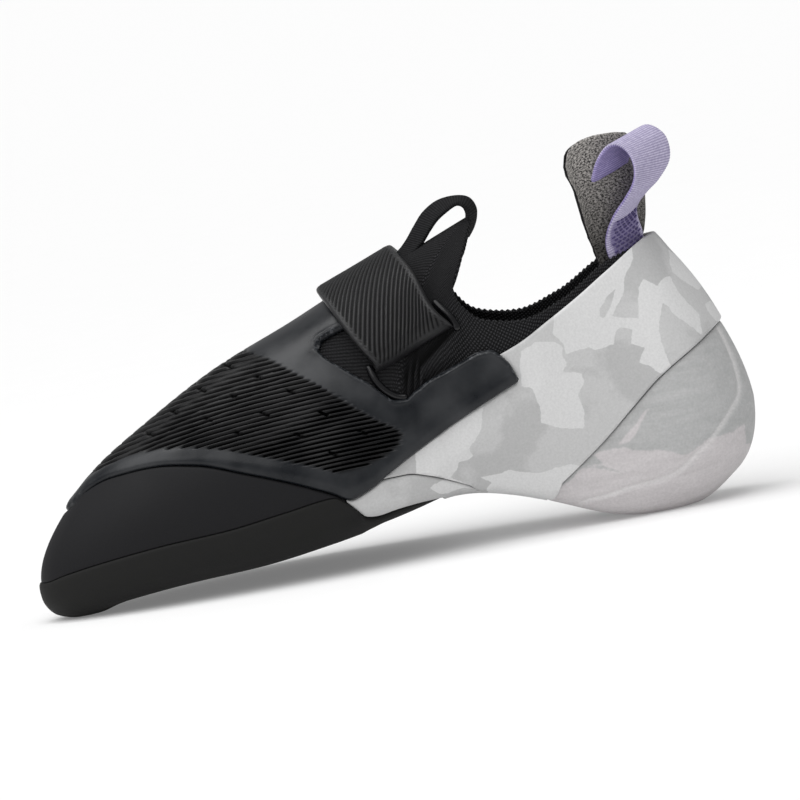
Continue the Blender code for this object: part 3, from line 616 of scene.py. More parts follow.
def skin(a, t, offset=0.0):
    """The last grown by offset along its normal, which is taken just inside the ends of each section.

    Past the top edge, where t is over 1, the section runs straight on.
    """
    a, t = np.asarray(a, float), np.asarray(t, float)
    within = np.clip(t, -NORMAL_LIMIT, NORMAL_LIMIT)
    along = last(a + ALONG_STEP, within) - last(a - ALONG_STEP, within)
    across = last(a, within + ACROSS_STEP) - last(a, within - ACROSS_STEP)
    normal = np.cross(across, along)
    normal /= np.linalg.norm(normal, axis=-1, keepdims=True)
    beyond = np.maximum(t - 1, 0)[..., None] * across / (2 * ACROSS_STEP)
    return last(a, t) + beyond + normal * np.asarray(offset, float)[..., None]


def crossing(ts, field):
    """The t at which each row of field first rises above 0, by straight lines between its samples."""
    k, row = np.clip(np.argmax(field > 0, axis=1), 1, len(ts) - 1), np.arange(len(field))
    share = field[row, k - 1] / (field[row, k - 1] - field[row, k])
    return ts[k - 1] + np.clip(share, 0, 1) * (ts[k] - ts[k - 1])


def line_at(rows, a, shift=0.0):
    """The t at which each section first rises through the side-view line given by rows."""
    line, ts = table(rows), np.linspace(-1, 1, 401)
    points = last(a[:, None], ts[None, :])
    above = points[..., 2] - line(points[..., 0]) - shift
    found = np.where(above[:, 0] > 0, -1.0, crossing(ts, above))
    return np.where(above.max(axis=1) <= 0, 1.0, found)


def lengths(points):
    """Running length along the second axis of a grid of points."""
    steps = np.linalg.norm(np.diff(points, axis=1), axis=-1)
    return np.concatenate([np.zeros((len(points), 1)), np.cumsum(steps, axis=1)], axis=1)


def spread(run, values, at):
    """values read where each row of run reaches at. Rows are laid far apart on a line and read at once."""
    apart = np.arange(len(run))[:, None] * 1e4
    at = np.clip(at, run[:, :1], run[:, -1:])
    return np.interp(at + apart, (run + apart).ravel(), values.ravel())


# Distances in from an edge, in millimetres, at which its close rows lie, and how many times the farthest of
# them a strip has to span for them not to be squeezed.
RIM = np.array([0.0, 0.1, 0.25, 0.45, 0.7, 1.0, 1.4, 2.0])
RIM_ROOM = 2.4


def close_rows(total):
    """Distances of an edge's close rows, squeezed together on a narrow strip."""
    return RIM * np.minimum(1, total / (RIM_ROOM * RIM[-1]))


def rows_between(a, low, high, count):
    """t from one edge to the other at each station, with close rows by both edges.

    Also gives each row's distance in millimetres from the low edge and from the high one.
    """
    fine = low[:, None] + (high - low)[:, None] * np.linspace(0, 1, 81)
    run = lengths(last(a[:, None], fine))
    total = run[:, -1:]
    rim = close_rows(total)
    middle = rim[:, -1:] + (total - 2 * rim[:, -1:]) * np.linspace(0, 1, count)[1:-1]
    at = np.concatenate([rim, middle, (total - rim)[:, ::-1]], axis=1)
    return spread(run, fine, at), at, total - at


def stations(start, end, spacing, level=0.5, rims=False):
    """Stations about one spacing apart along the last at one level, closer by the ends if rims is set."""
    a = np.linspace(start, end, 3001)
    run = lengths(last(a, np.full_like(a, level))[None])[0]
    at = np.linspace(0, run[-1], int(run[-1] / spacing) + 2)
    if rims:
        at = np.unique(np.concatenate([at, RIM, run[-1] - RIM]))
    return np.interp(at, run, a)


def end_distance(a, t, end):
    """Distance in millimetres along the last from each point to the column at station end."""
    middle = np.median(t, axis=1)
    points = last(a, middle)
    run = lengths(points[None])[0]
    return np.abs(run - np.interp(end, a, run))[:, None]


def seen_height(points, middle=0.0):
    """Height as the photograph's angle shows it, and as a view from the other side shows the outer half."""
    side = np.where(points[..., 1] < middle, points[..., 1], 2 * middle - points[..., 1])
    return points[..., 2] + math.tan(VIEW_TILT) * side


def normals_of(points):
    """Unit normals of a grid of points, from the differences between its neighbours."""
    normal = np.cross(np.gradient(points, axis=0), np.gradient(points, axis=1))
    return normal / np.maximum(np.linalg.norm(normal, axis=-1, keepdims=True), 1e-9)


def place(points):
    """Table millimetres to the frame's metres."""
    return (points - BOX_MIDDLE) * MM


def shell(name, outer, inner, materials, uv=None, marks=None, keep=None):
    """Closed mesh between two matching grids: outer cells, inner cells turned over, and a rim on open edges.

    Points a hundredth of a millimetre apart are one, cells that shrink to a line are left out, and cells
    with one side shrunk are triangles. The first material is outside, the last inside and on the rim.
    A form that closes on itself has no inner grid.
    """
    flat = outer.reshape(-1, 3)
    _, first, index = np.unique(np.round(flat, 2), axis=0, return_index=True, return_inverse=True)
    index = index.ravel()
    ids = np.arange(len(flat)).reshape(outer.shape[:2])
    cells = np.stack([ids[:-1, :-1], ids[:-1, 1:], ids[1:, 1:], ids[1:, :-1]], -1)
    cells = (cells if keep is None else cells[keep]).reshape(-1, 4)
    same = index[cells] == index[np.roll(cells, -1, axis=1)]
    quads = cells[~same.any(axis=1)]
    pinched = same.sum(axis=1) == 1
    order = (np.argmax(same[pinched], axis=1)[:, None] + np.arange(1, 4)) % 4
    triangles = np.take_along_axis(cells[pinched], order, 1)
    count = len(first)
    start = np.concatenate([index[quads].ravel(), index[triangles].ravel()])
    end = np.concatenate([index[np.roll(quads, -1, 1)].ravel(), index[np.roll(triangles, -1, 1)].ravel()])
    open_edge = ~np.isin(end * count + start, start * count + end)
    rim = np.stack([end[open_edge], start[open_edge]], -1)
    corners = [quads, quads[:, ::-1], first[np.concatenate([rim, rim[:, ::-1]], 1)]]
    corners += [triangles, triangles[:, ::-1]]
    verts = [index[quads], index[quads[:, ::-1]] + count, np.concatenate([rim, rim[:, ::-1] + count], 1)]
    verts += [index[triangles], index[triangles[:, ::-1]] + count]
    points, kinds = flat[first], [0, 0]
    if inner is None:
        corners, verts = [quads, triangles], [index[quads], index[triangles]]
    else:
        points = np.concatenate([points, inner.reshape(-1, 3)[first]])
        inside = len(materials) - 1
        kinds = [0, inside, inside, 0, inside]
    fans = [(f[:, 0], f[:, k], f[:, k + 1]) for f in verts for k in range(1, f.shape[1] - 1)]
    p, q, r = (points[np.concatenate([fan[k] for fan in fans])] for k in range(3))
    if np.einsum("ij,ij->i", p, np.cross(q, r)).sum() < 0:
        corners = [c[:, ::-1] for c in corners]
        verts = [v[:, ::-1] for v in verts]
    mesh = bpy.data.meshes.new(name)
    mesh.from_pydata(place(points).tolist(), [], [face for faces in verts for face in faces.tolist()])
    loops = np.concatenate([c.ravel() for c in corners])
    if uv is not None:
        layer = mesh.uv_layers.new(name="Surface")
        layer.data.foreach_set("uv", (uv.reshape(-1, 2)[loops] * MM).ravel().astype(np.float32))
    for mark, values in (marks or {}).items():
        held = mesh.attributes.new(mark, "FLOAT", "POINT")
        held.data.foreach_set("value", np.resize(values.ravel()[first], len(points)).astype(np.float32))
    for material in materials:
        mesh.materials.append(material)
    mesh.polygons.foreach_set("material_index", np.repeat(kinds, [len(v) for v in verts]).astype(np.int32))
    mesh.shade_smooth()
    mesh.validate()
    made = bpy.data.objects.new(name, mesh)
    bpy.context.scene.collection.objects.link(made)
    return made


def fit(piece, slot, *nodes):
    """The piece rides on the shoe's one body and stands for its nodes, which are hidden; slot is not used.
    """
    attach(piece, "root")
    if nodes:
        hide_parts(*nodes)


def grid_uv(points):
    """UV in millimetres: running length along both axes of a grid, each read on its middle line."""
    u = lengths(points[:, points.shape[1] // 2][None])[0]
    return np.stack(np.broadcast_arrays(u[:, None], lengths(points)), -1)


def outline_distance(outline, x, z):
    """Distance in millimetres from points to an outline of straight edges, positive inside it.

    A point is inside where a level ray from it crosses an odd number of edges.
    """
    start = np.array(outline, float)
    end = np.roll(start, -1, axis=0)
    edge = end - start
    p = np.stack([x, z], -1).reshape(-1, 1, 2)
    share = np.clip(((p - start) * edge).sum(-1) / (edge * edge).sum(-1), 0, 1)
    away = np.linalg.norm(p - start - share[..., None] * edge, axis=-1).min(axis=1)
    level = (start[:, 1] > p[..., 1]) != (end[:, 1] > p[..., 1])
    rise = np.where(edge[:, 1] == 0, 1e-9, edge[:, 1])
    meets = start[:, 0] + (p[..., 1] - start[:, 1]) * edge[:, 0] / rise
    inside = (level & (p[..., 0] < meets)).sum(axis=1) % 2 == 1
    return np.where(inside, away, -away).reshape(x.shape)


def patches(light, dark, points):
    """How deep each point lies in a light patch, in millimetres, negative outside one or in a dark patch."""
    x, z = points[..., 0], seen_height(points)
    far = eased(points[..., 1], *FAR_SIDE_BLEND)
    x, z = x + far * FAR_SIDE_SHIFT[0], z + far * FAR_SIDE_SHIFT[1]
    field = np.max([outline_distance(outline, x, z) for outline in light], axis=0)
    return np.minimum(field, -np.max([outline_distance(outline, x, z) for outline in dark], axis=0))


def on_side(line, offset):
    """Points of the inner side's skin that the side view shows at the places in line."""
    a, t = np.meshgrid(np.linspace(*SIDE_STATIONS, 700), np.linspace(*SIDE_LEVELS, 400), indexing="ij")
    shown = last(a[:, :1], t)
    x, z = shown[..., 0], seen_height(shown)
    found = [np.argmin(np.hypot(x - line_x, z - line_z)) for line_x, line_z in line]
    return skin(a.ravel()[found], t.ravel()[found], offset)


def tube(path, radius, sides=12):
    """Round cord along a path of points: a circle square to it, closing to a point at both ends."""
    ahead = np.gradient(path, axis=0)
    ahead /= np.linalg.norm(ahead, axis=1, keepdims=True)
    first = np.cross(ahead, np.array([0.0, 1.0, 0.0]))
    first /= np.linalg.norm(first, axis=1, keepdims=True)
    second = np.cross(ahead, first)
    run = lengths(path[None])[0]
    size = radius * rounded(np.minimum(run, run[-1] - run), radius)
    turn = np.linspace(0, 2 * np.pi, sides + 1)
    circle = first[:, None] * np.cos(turn)[:, None] + second[:, None] * np.sin(turn)[:, None]
    return path[:, None] + circle * size[:, None, None]


def line_distance(line, points):
    """Side-view distance in millimetres from each point to a smooth line."""
    path = flowing(line, 160)
    flat = np.stack([points[..., 0], seen_height(points)], -1).reshape(-1, 2)
    near = np.full(len(flat), np.inf)
    for x, z in path:
        near = np.minimum(near, np.hypot(flat[:, 0] - x, flat[:, 1] - z))
    return near.reshape(points.shape[:2])


def colour(code):
    """Linear RGBA from an sRGB hex value."""
    parts = [int(code[k : k + 2], 16) / 255 for k in (1, 3, 5)]
    return [v / 12.92 if v <= 0.04045 else ((v + 0.055) / 1.055) ** 2.4 for v in parts] + [1.0]


def every(size):
    """Scale of a noise texture with grains of about size millimetres."""
    return 1 / (size * MM)


def waves(pitch):
    """Scale of a wave texture that repeats each pitch in millimetres. At scale 1 it repeats each 0.314 m."""
    return 0.314 / (pitch * MM)


def add(tree, kind, links, **settings):
    """A node with its settings. links gives sockets a value or another node's output. Returns its outputs.

    By number, a MapRange node's sockets are the value, the range it is in and the range it goes to. A Mix
    node's are the share at 0 and its two colours at 6 and 7.
    """
    made = tree.nodes.new("ShaderNode" + kind)
    for key, value in settings.items():
        setattr(made, key, value)
    for key, value in links.items():
        if isinstance(value, bpy.types.NodeSocket):
            tree.links.new(value, made.inputs[key])
        else:
            made.inputs[key].default_value = value
    return made.outputs


def start_material(name, **constants):
    """A Principled material with constants on its sockets, named with underscores: its tree and shader."""
    made = bpy.data.materials.new(name)
    made.use_nodes = True
    shader = made.node_tree.nodes["Principled BSDF"]
    for key, value in constants.items():
        shader.inputs[key.replace("_", " ")].default_value = value
    return made, made.node_tree, shader


def join(tree, shader, **sockets):
    """Links outputs to the shader's sockets, which are named with underscores."""
    for key, output in sockets.items():
        tree.links.new(output, shader.inputs[key.replace("_", " ")])


def moulded_rubber(name, dark, light, roughness, specular, grain_mm, grain_deep):
    """Black moulded rubber: an even skin with a faint fine grain, a soft gloss and pale bloom in patches."""
    made, tree, shader = start_material(name, Specular_IOR_Level=specular)
    place_at = add(tree, "TexCoord", {})["Object"]
    bloom = add(tree, "TexNoise", {"Vector": place_at, "Scale": every(22), "Detail": 3.0})[0]
    speck = add(tree, "TexNoise", {"Vector": place_at, "Scale": every(grain_mm), "Detail": 2.0})[0]
    tint = add(tree, "Mix", {0: bloom, 6: colour(dark), 7: colour(light)}, data_type="RGBA")[2]
    gloss = add(tree, "MapRange", {0: bloom, 1: 0.3, 2: 0.7, 3: roughness - 0.05, 4: roughness + 0.08})[0]
    relief = add(tree, "Bump", {"Height": speck, "Strength": 0.5, "Distance": grain_deep * MM})[0]
    join(tree, shader, Base_Color=tint, Roughness=gloss, Normal=relief)
    return made


def patch_rubber():
    """Black moulded toe rubber: satin borders polished in patches, darker ribs, and grooves made near black
    with painted shade.

    The notch's lip is rubbed grey.
    """
    made, tree, shader = start_material("moulded_patch_rubber")
    place_at = add(tree, "TexCoord", {})["Object"]
    groove = add(tree, "Attribute", {}, attribute_name="groove")["Fac"]
    lip = add(tree, "Attribute", {}, attribute_name="lip")["Fac"]
    ribbed = add(tree, "Attribute", {}, attribute_name="ribbed")["Fac"]
    bloom = add(tree, "TexNoise", {"Vector": place_at, "Scale": every(18), "Detail": 4.0})[0]
    speck = add(tree, "TexNoise", {"Vector": place_at, "Scale": every(0.6), "Detail": 3.0})[0]
    scuff = add(
        tree, "TexNoise", {"Vector": place_at, "Scale": every(1.4), "Detail": 4.0, "Roughness": 0.7}
    )[0]
    tint = add(tree, "Mix", {0: bloom, 6: colour("#0e1013"), 7: colour("#1c1f24")}, data_type="RGBA")[2]
    tint = add(tree, "Mix", {0: ribbed, 6: tint, 7: colour("#08080a")}, data_type="RGBA")[2]
    # Painted shade: the grooves turn near black.
    tint = add(tree, "Mix", {0: groove, 6: tint, 7: colour("#020202")}, data_type="RGBA")[2]
    rubbed = add(tree, "MapRange", {0: scuff, 1: 0.5, 2: 0.68})[0]
    rubbed = add(tree, "Math", {0: rubbed, 1: lip}, operation="MULTIPLY")[0]
    tint = add(tree, "Mix", {0: rubbed, 6: tint, 7: colour("#5b5d61")}, data_type="RGBA")[2]
    gloss = add(tree, "MapRange", {0: bloom, 1: 0.35, 2: 0.65, 3: 0.26, 4: 0.5})[0]
    shine = add(tree, "MapRange", {0: groove, 3: 0.46, 4: 0.02})[0]
    dulled = add(tree, "MapRange", {0: ribbed, 3: 1.0, 4: 0.65})[0]
    shine = add(tree, "Math", {0: shine, 1: dulled}, operation="MULTIPLY")[0]
    polished = add(tree, "MapRange", {0: bloom, 1: 0.36, 2: 0.68, 3: 0.45, 4: 1.25})[0]
    shine = add(tree, "Math", {0: shine, 1: polished}, operation="MULTIPLY")[0]
    relief = add(tree, "Bump", {"Height": speck, "Strength": 0.5, "Distance": 0.04 * MM})[0]
    join(tree, shader, Base_Color=tint, Roughness=gloss, Specular_IOR_Level=shine, Normal=relief)
    return made


def polyester_knit():
    """Black polyester rib knit: fine ridges of loops with painted shade in the gaps between, a dull nap, and
    painted shade darkest in the slot under the strap's end.
    """
    made, tree, shader = start_material("polyester_knit", Roughness=0.9, Specular_IOR_Level=0.15)
    surface = add(tree, "UVMap", {}, uv_map="Surface")[0]
    turned = add(tree, "Mapping", {0: surface, 2: (0, 0, math.radians(28))})[0]
    ribs = add(
        tree, "TexWave", {"Vector": turned, "Scale": waves(1.1), "Distortion": 1.2, "Detail": 1.0},
        bands_direction="Y",
    )[1]
    loops = add(
        tree, "TexWave", {"Vector": turned, "Scale": waves(0.9), "Distortion": 2.0, "Detail": 1.0},
        bands_direction="X",
    )[1]
    fuzz = add(tree, "TexNoise", {"Vector": surface, "Scale": every(0.6), "Detail": 3.0})[0]
    # The colour follows the relief: painted shade in the gaps between loops and ridges, lighter on their
    # tops.
    height = add(tree, "Math", {0: ribs, 1: loops}, operation="MULTIPLY")[0]
    height = add(tree, "Math", {0: fuzz, 1: 0.5, 2: height}, operation="MULTIPLY_ADD")[0]
    shade = add(tree, "MapRange", {0: height, 1: 0.2, 2: 1.1})[0]
    tint = add(tree, "Mix", {0: shade, 6: colour("#070708"), 7: colour("#3b3b3d")}, data_type="RGBA")[2]
    # Painted shade: the knit turns near black in the slot beside the fold, under the strap's end.
    slot = add(tree, "Attribute", {}, attribute_name="slot")["Fac"]
    tint = add(tree, "Mix", {0: slot, 6: tint, 7: colour("#020202")}, data_type="RGBA")[2]
    relief = add(tree, "Bump", {"Height": height, "Strength": 0.9, "Distance": 0.35 * MM})[0]
    join(tree, shader, Base_Color=tint, Normal=relief)
    return made


def strap_rubber():
    """Black moulded strap rubber: satin ribs rubbed dull in patches, with painted shade in the furrows
    between them.
    """
    made, tree, shader = start_material("ribbed_strap_rubber")
    place_at = add(tree, "TexCoord", {})["Object"]
    painted_furrow_shade = add(tree, "Attribute", {}, attribute_name="painted_furrow_shade")["Fac"]
    worn = add(tree, "TexNoise", {"Vector": place_at, "Scale": every(9), "Detail": 5.0, "Roughness": 0.6})[0]
    speck = add(
        tree, "TexNoise", {"Vector": place_at, "Scale": every(0.7), "Detail": 3.0, "Roughness": 0.7}
    )[0]
    tint = add(tree, "Mix", {0: worn, 6: colour("#08080a"), 7: colour("#1e1e20")}, data_type="RGBA")[2]
    # Painted shade: the furrows between the ribs turn near black.
    tint = add(tree, "Mix", {0: painted_furrow_shade, 6: tint, 7: colour("#050505")}, data_type="RGBA")[2]
    gloss = add(tree, "MapRange", {0: worn, 1: 0.35, 2: 0.65, 3: 0.3, 4: 0.55})[0]
    shine = add(tree, "MapRange", {0: painted_furrow_shade, 3: 0.44, 4: 0.03})[0]
    relief = add(tree, "Bump", {"Height": speck, "Strength": 0.9, "Distance": 0.22 * MM})[0]
    join(tree, shader, Base_Color=tint, Roughness=gloss, Specular_IOR_Level=shine, Normal=relief)
    return made


def printed_rubber():
    """Light grey rubber printed in ragged patches of two greys, with a matt, slightly dusty skin."""
    made, tree, shader = start_material("printed_grey_rubber", Roughness=0.75, Specular_IOR_Level=0.25)
    place_at = add(tree, "TexCoord", {})["Object"]
    field = add(tree, "Attribute", {}, attribute_name="print")["Fac"]
    ragged = add(
        tree, "TexNoise", {"Vector": place_at, "Scale": every(3.5), "Detail": 4.0, "Roughness": 0.6}
    )[0]
    edge = add(tree, "Math", {0: ragged, 1: 1.6, 2: field}, operation="MULTIPLY_ADD")[0]
    light = add(tree, "MapRange", {0: edge, 1: 0.68, 2: 0.92})[0]
    mottle = add(tree, "TexNoise", {"Vector": place_at, "Scale": every(24), "Detail": 6.0})[0]
    deep = add(tree, "MapRange", {0: mottle, 1: 0.5, 2: 0.56})[0]
    ground = add(tree, "Mix", {0: deep, 6: colour("#bfbfbf"), 7: colour("#b3b3b3")}, data_type="RGBA")[2]
    tint = add(tree, "Mix", {0: light, 6: ground, 7: colour("#d0d0d0")}, data_type="RGBA")[2]
    speck = add(tree, "TexNoise", {"Vector": place_at, "Scale": every(0.7), "Detail": 3.0})[0]
    dusted = add(tree, "MapRange", {0: speck, 1: 0.3, 2: 0.7, 3: 0.94, 4: 1.05})[0]
    tint = add(tree, "VectorMath", {0: tint, 1: dusted}, operation="MULTIPLY")[0]
    relief = add(tree, "Bump", {"Height": speck, "Strength": 0.4, "Distance": 0.1 * MM})[0]
    join(tree, shader, Base_Color=tint, Normal=relief)
    return made


def cup_rubber():
    """Pale grey cast rubber of the heel, stained pinkish where it meets rock, with faint long streaks and a
    painted highlight along its raised line.
    """
    made, tree, shader = start_material("pale_cast_rubber", Roughness=0.65, Specular_IOR_Level=0.3)
    place_at = add(tree, "TexCoord", {})["Object"]
    field = add(tree, "Attribute", {}, attribute_name="stain")["Fac"]
    ridge = add(tree, "Attribute", {}, attribute_name="ridge")["Fac"]
    ragged = add(
        tree, "TexNoise", {"Vector": place_at, "Scale": every(4), "Detail": 5.0, "Roughness": 0.65}
    )[0]
    edge = add(tree, "Math", {0: ragged, 1: 2.4, 2: field}, operation="MULTIPLY_ADD")[0]
    pink = add(tree, "MapRange", {0: edge, 1: 0.9, 2: 1.5})[0]
    turned = add(tree, "Mapping", {0: place_at, 2: (0, math.radians(-40), 0), 3: (50.0, 200.0, 420.0)})[0]
    streak = add(tree, "TexNoise", {"Vector": turned, "Scale": 1.0, "Detail": 5.0, "Roughness": 0.6})[0]
    grey = add(tree, "Mix", {0: streak, 6: colour("#9d9e9e"), 7: colour("#bebebe")}, data_type="RGBA")[2]
    rose = add(tree, "Mix", {0: streak, 6: colour("#b6b2b3"), 7: colour("#d0cccd")}, data_type="RGBA")[2]
    tint = add(tree, "Mix", {0: pink, 6: grey, 7: rose}, data_type="RGBA")[2]
    # Painted highlight: the raised line of the heel cup is lighter.
    tint = add(tree, "Mix", {0: ridge, 6: tint, 7: colour("#dedcdc")}, data_type="RGBA")[2]
    speck = add(tree, "TexNoise", {"Vector": place_at, "Scale": every(0.8), "Detail": 3.0})[0]
    dusted = add(tree, "MapRange", {0: speck, 1: 0.3, 2: 0.7, 3: 0.92, 4: 1.06})[0]
    tint = add(tree, "VectorMath", {0: tint, 1: dusted}, operation="MULTIPLY")[0]
    relief = add(tree, "Bump", {"Height": speck, "Strength": 0.4, "Distance": 0.1 * MM})[0]
    join(tree, shader, Base_Color=tint, Normal=relief)
    return made


def melange_felt():
    """Grey melange felt of the pull tab: specks of dark and pale fibre, a soft nap, and painted shade
    darkening it towards its foot.
    """
    made, tree, shader = start_material("melange_felt", Roughness=0.95, Specular_IOR_Level=0.1)
    surface = add(tree, "UVMap", {}, uv_map="Surface")[0]
    stretched = add(tree, "Mapping", {0: surface, 3: (1.0, 0.6, 1.0)})[0]
    fibre = add(
        tree, "TexNoise", {"Vector": stretched, "Scale": every(0.55), "Detail": 3.0, "Roughness": 0.75}
    )[0]
    share = add(tree, "MapRange", {0: fibre, 1: 0.4, 2: 0.62})[0]
    tint = add(tree, "Mix", {0: share, 6: colour("#262526"), 7: colour("#b3afab")}, data_type="RGBA")[2]
    # Painted shade: the felt darkens towards its foot, under the webbing and by the collar.
    height = add(tree, "SeparateXYZ", {0: add(tree, "TexCoord", {})["Object"]})["Z"]
    painted_foot_shade = add(tree, "MapRange", {0: height, 1: 86 * MM, 2: 120 * MM, 3: 0.25, 4: 1.0})[0]
    tint = add(tree, "VectorMath", {0: tint, 1: painted_foot_shade}, operation="MULTIPLY")[0]
    relief = add(tree, "Bump", {"Height": fibre, "Strength": 0.7, "Distance": 0.3 * MM})[0]
    join(tree, shader, Base_Color=tint, Normal=relief)
    return made


def woven_tape(name, dark, light, sewn_in, rib_mm):
    """Woven polyester tape: fine ribs across its length with painted light on each crown and painted shade
    between, darker where it is sewn.
    """
    made, tree, shader = start_material(name, Roughness=0.75, Specular_IOR_Level=0.12)
    surface = add(tree, "UVMap", {}, uv_map="Surface")[0]
    sewn = add(tree, "Attribute", {}, attribute_name="sewn")["Fac"]
    ribs = add(tree, "TexWave", {"Vector": surface, "Scale": waves(rib_mm)}, bands_direction="X")[1]
    yarn = add(tree, "TexWave", {"Vector": surface, "Scale": waves(0.6)}, bands_direction="Y")[1]
    woven = add(tree, "Math", {0: yarn, 1: 0.3, 2: ribs}, operation="MULTIPLY_ADD")[0]
    fuzz = add(tree, "TexNoise", {"Vector": surface, "Scale": every(1.2), "Detail": 3.0})[0]
    # The colour follows the weave's relief: painted light on the crowns, painted shade between them.
    shade = add(tree, "Math", {0: woven, 1: fuzz}, operation="MULTIPLY")[0]
    tint = add(tree, "Mix", {0: shade, 6: colour(dark), 7: colour(light)}, data_type="RGBA")[2]
    tint = add(tree, "Mix", {0: sewn, 6: tint, 7: colour(sewn_in)}, data_type="RGBA")[2]
    relief = add(tree, "Bump", {"Height": woven, "Strength": 0.6, "Distance": 0.15 * MM})[0]
    join(tree, shader, Base_Color=tint, Normal=relief)
    return made


def plain_thread(name, code):
    """Twisted sewing thread: a dull sheen with a fine twist."""
    made, tree, shader = start_material(name, Roughness=0.6, Specular_IOR_Level=0.3)
    place_at = add(tree, "TexCoord", {})["Object"]
    twist = add(tree, "TexNoise", {"Vector": place_at, "Scale": every(0.5), "Detail": 2.0})[0]
    dull = colour(code)
    bright = [min(1.0, v * 1.6) for v in dull[:3]] + [1.0]
    tint = add(tree, "Mix", {0: twist, 6: dull, 7: bright}, data_type="RGBA")[2]
    join(tree, shader, Base_Color=tint)
    return made


def insole_board():
    """Brown-grey fibre board under the foot, with short fibres showing."""
    made, tree, shader = start_material("fibre_board", Roughness=0.9, Specular_IOR_Level=0.2)
    place_at = add(tree, "TexCoord", {})["Object"]
    fibre = add(tree, "TexNoise", {"Vector": place_at, "Scale": every(1.2), "Detail": 4.0})[0]
    tint = add(tree, "Mix", {0: fibre, 6: colour("#2c2a28"), 7: colour("#56514c")}, data_type="RGBA")[2]
    relief = add(tree, "Bump", {"Height": fibre, "Strength": 0.5, "Distance": 0.2 * MM})[0]
    join(tree, shader, Base_Color=tint, Normal=relief)
    return made


KNIT = polyester_knit()
PATCH = patch_rubber()
RAND = moulded_rubber("matt_rand_rubber", "#141416", "#1b1b1d", 0.6, 0.16, 0.6, 0.08)
SOLE = moulded_rubber("climbing_sole_rubber", "#161616", "#1f1f1e", 0.7, 0.18, 0.8, 0.12)
BEAD = moulded_rubber("bead_rubber", "#08080a", "#0e0e11", 0.25, 0.35, 0.5, 0.03)
STRAP = strap_rubber()
PRINTED = printed_rubber()
CUP = cup_rubber()
FELT = melange_felt()
LINING = woven_tape("black_lining", "#0a0a0b", "#262628", "#0a0a0b", 0.8)
WEBBING = woven_tape("lilac_webbing", "#8b84a4", "#ddd7ec", "#655b85", 0.75)
# The loop's inner face: the same webbing in darker colours, as painted shade.
WEBBING_BACK_PAINTED_SHADE = woven_tape("webbing_back_painted_shade", "#6c6390", "#b9aed8", "#655b85", 0.75)
TAPE = woven_tape("black_tape", "#080809", "#2c2c2e", "#080809", 0.8)
THREAD = plain_thread("violet_thread", "#433b63")
BOARD = insole_board()


def there_and_back(near):
    """Stations forwards along the inner side, then back along the outer side."""
    return np.concatenate([near, ROUND - near[-2::-1]])


def knit_bootie():
    """The last's own surface with its wall, a rounded, toothed collar and a fold by the strap's slot."""
    near = np.concatenate(
        [
            stations(0, TONGUE_TIP, 0.47, level=1.0),
            stations(TONGUE_TIP, KNIT_SHOWN_END, 0.8)[1:],
            stations(KNIT_SHOWN_END, TOE, 3.0)[1:],
        ]
    )
    a = there_and_back(near)
    fine = np.ones((len(a), 1)) * np.linspace(1.0, STROBEL, 161)
    run = lengths(last(a[:, None], fine))
    shown = RIM[-1] + np.linspace(0, KNIT_SHOWN_DEEP, 40)[1:]
    below = np.concatenate([RIM, shown]) + 0 * run[:, :1]
    hidden = below[:, -1:] + (run[:, -1:] - below[:, -1:]) * np.linspace(0, 1, 8)[1:]
    below = np.minimum(np.concatenate([below, hidden], axis=1), run[:, -1:])
    length = lengths(last(a, np.ones(len(a)))[None])[0][:, None]
    collar = eased(TONGUE_TIP - from_heel(a), *COLLAR_START)[:, None]
    teeth = TOOTH_HIGH * (0.5 - 0.5 * np.cos(2 * np.pi * length / TOOTH_PITCH))
    t = spread(run, fine, below + teeth * bell(below, 0.0, TOOTH_REACH) * collar)
    pinch = COLLAR_PINCH * (1 - rounded(below, COLLAR_ROUND)) * collar
    points = last(a[:, None], t)
    x = points[..., 0]
    past = outline_distance(KNIT_FOLD, x, seen_height(points))
    fold = FOLD_HIGH * eased(past, *FOLD_RISE) * (1 - eased(past, *FOLD_FALL)) * eased(x, *FOLD_BACK)
    fold *= eased(points[..., 2] - table(PATCH_NOTCH)(x), *FOLD_OVER_PATCH) * (points[..., 1] < 0)
    # Painted shade for the slot under the strap's end: a mask that darkens the knit there.
    slot = eased(past, *PAINTED_SLOT_SHADE_RISE) * (1 - eased(past, *PAINTED_SLOT_SHADE_FALL)) * eased(x, *PAINTED_SLOT_SHADE_BACK)
    outer, inner = skin(a[:, None], t, fold - pinch), skin(a[:, None], t, pinch - WALL)
    uv = np.stack(np.broadcast_arrays(length, below), -1)
    fit(shell("knit_bootie", outer, inner, [KNIT], uv, marks={"slot": slot}), "black_knit", "upper")


def joined(near, far):
    """One grid of two sides that share their last row: the inner side, then the outer side turned round."""
    return np.concatenate([near, far[:, -2::-1]], axis=1)


def both_sides(a, ts, offsets):
    """Skin on the inner side at stations a, over the shared middle row, to the outer side."""
    return joined(*(skin(side[:, None], t, off) for side, t, off in zip((a, ROUND - a), ts, offsets)))


def underfoot(a, outline, thick, count, end, share):
    """Rubber from an outline on the inner side, under the foot, to the same outline on the outer side.

    share is the part of the thickness that is left along the outline.
    """
    ts, offsets = [], []
    for side in (a, ROUND - a):
        rim = line_at(outline, side, -SEAM)
        t, _, inwards = rows_between(side, np.full(len(a), -1.0), rim, count)
        t, inwards = t[:, ::-1], inwards[:, ::-1]
        full = thick(a[:, None], t, rim[:, None]) * blunt(end_distance(a, t, end), EDGE_ROUND, SOFT_EDGE)
        ts.append(t)
        offsets.append(GAP + full * blunt(inwards, EDGE_ROUND, share))
    return both_sides(a, ts, (GAP, GAP)), both_sides(a, ts, offsets)


def floored(points):
    """Flat spots on the floor where the rubber would dip below it."""
    points[..., 2] = np.maximum(points[..., 2], 0.0)
    return points


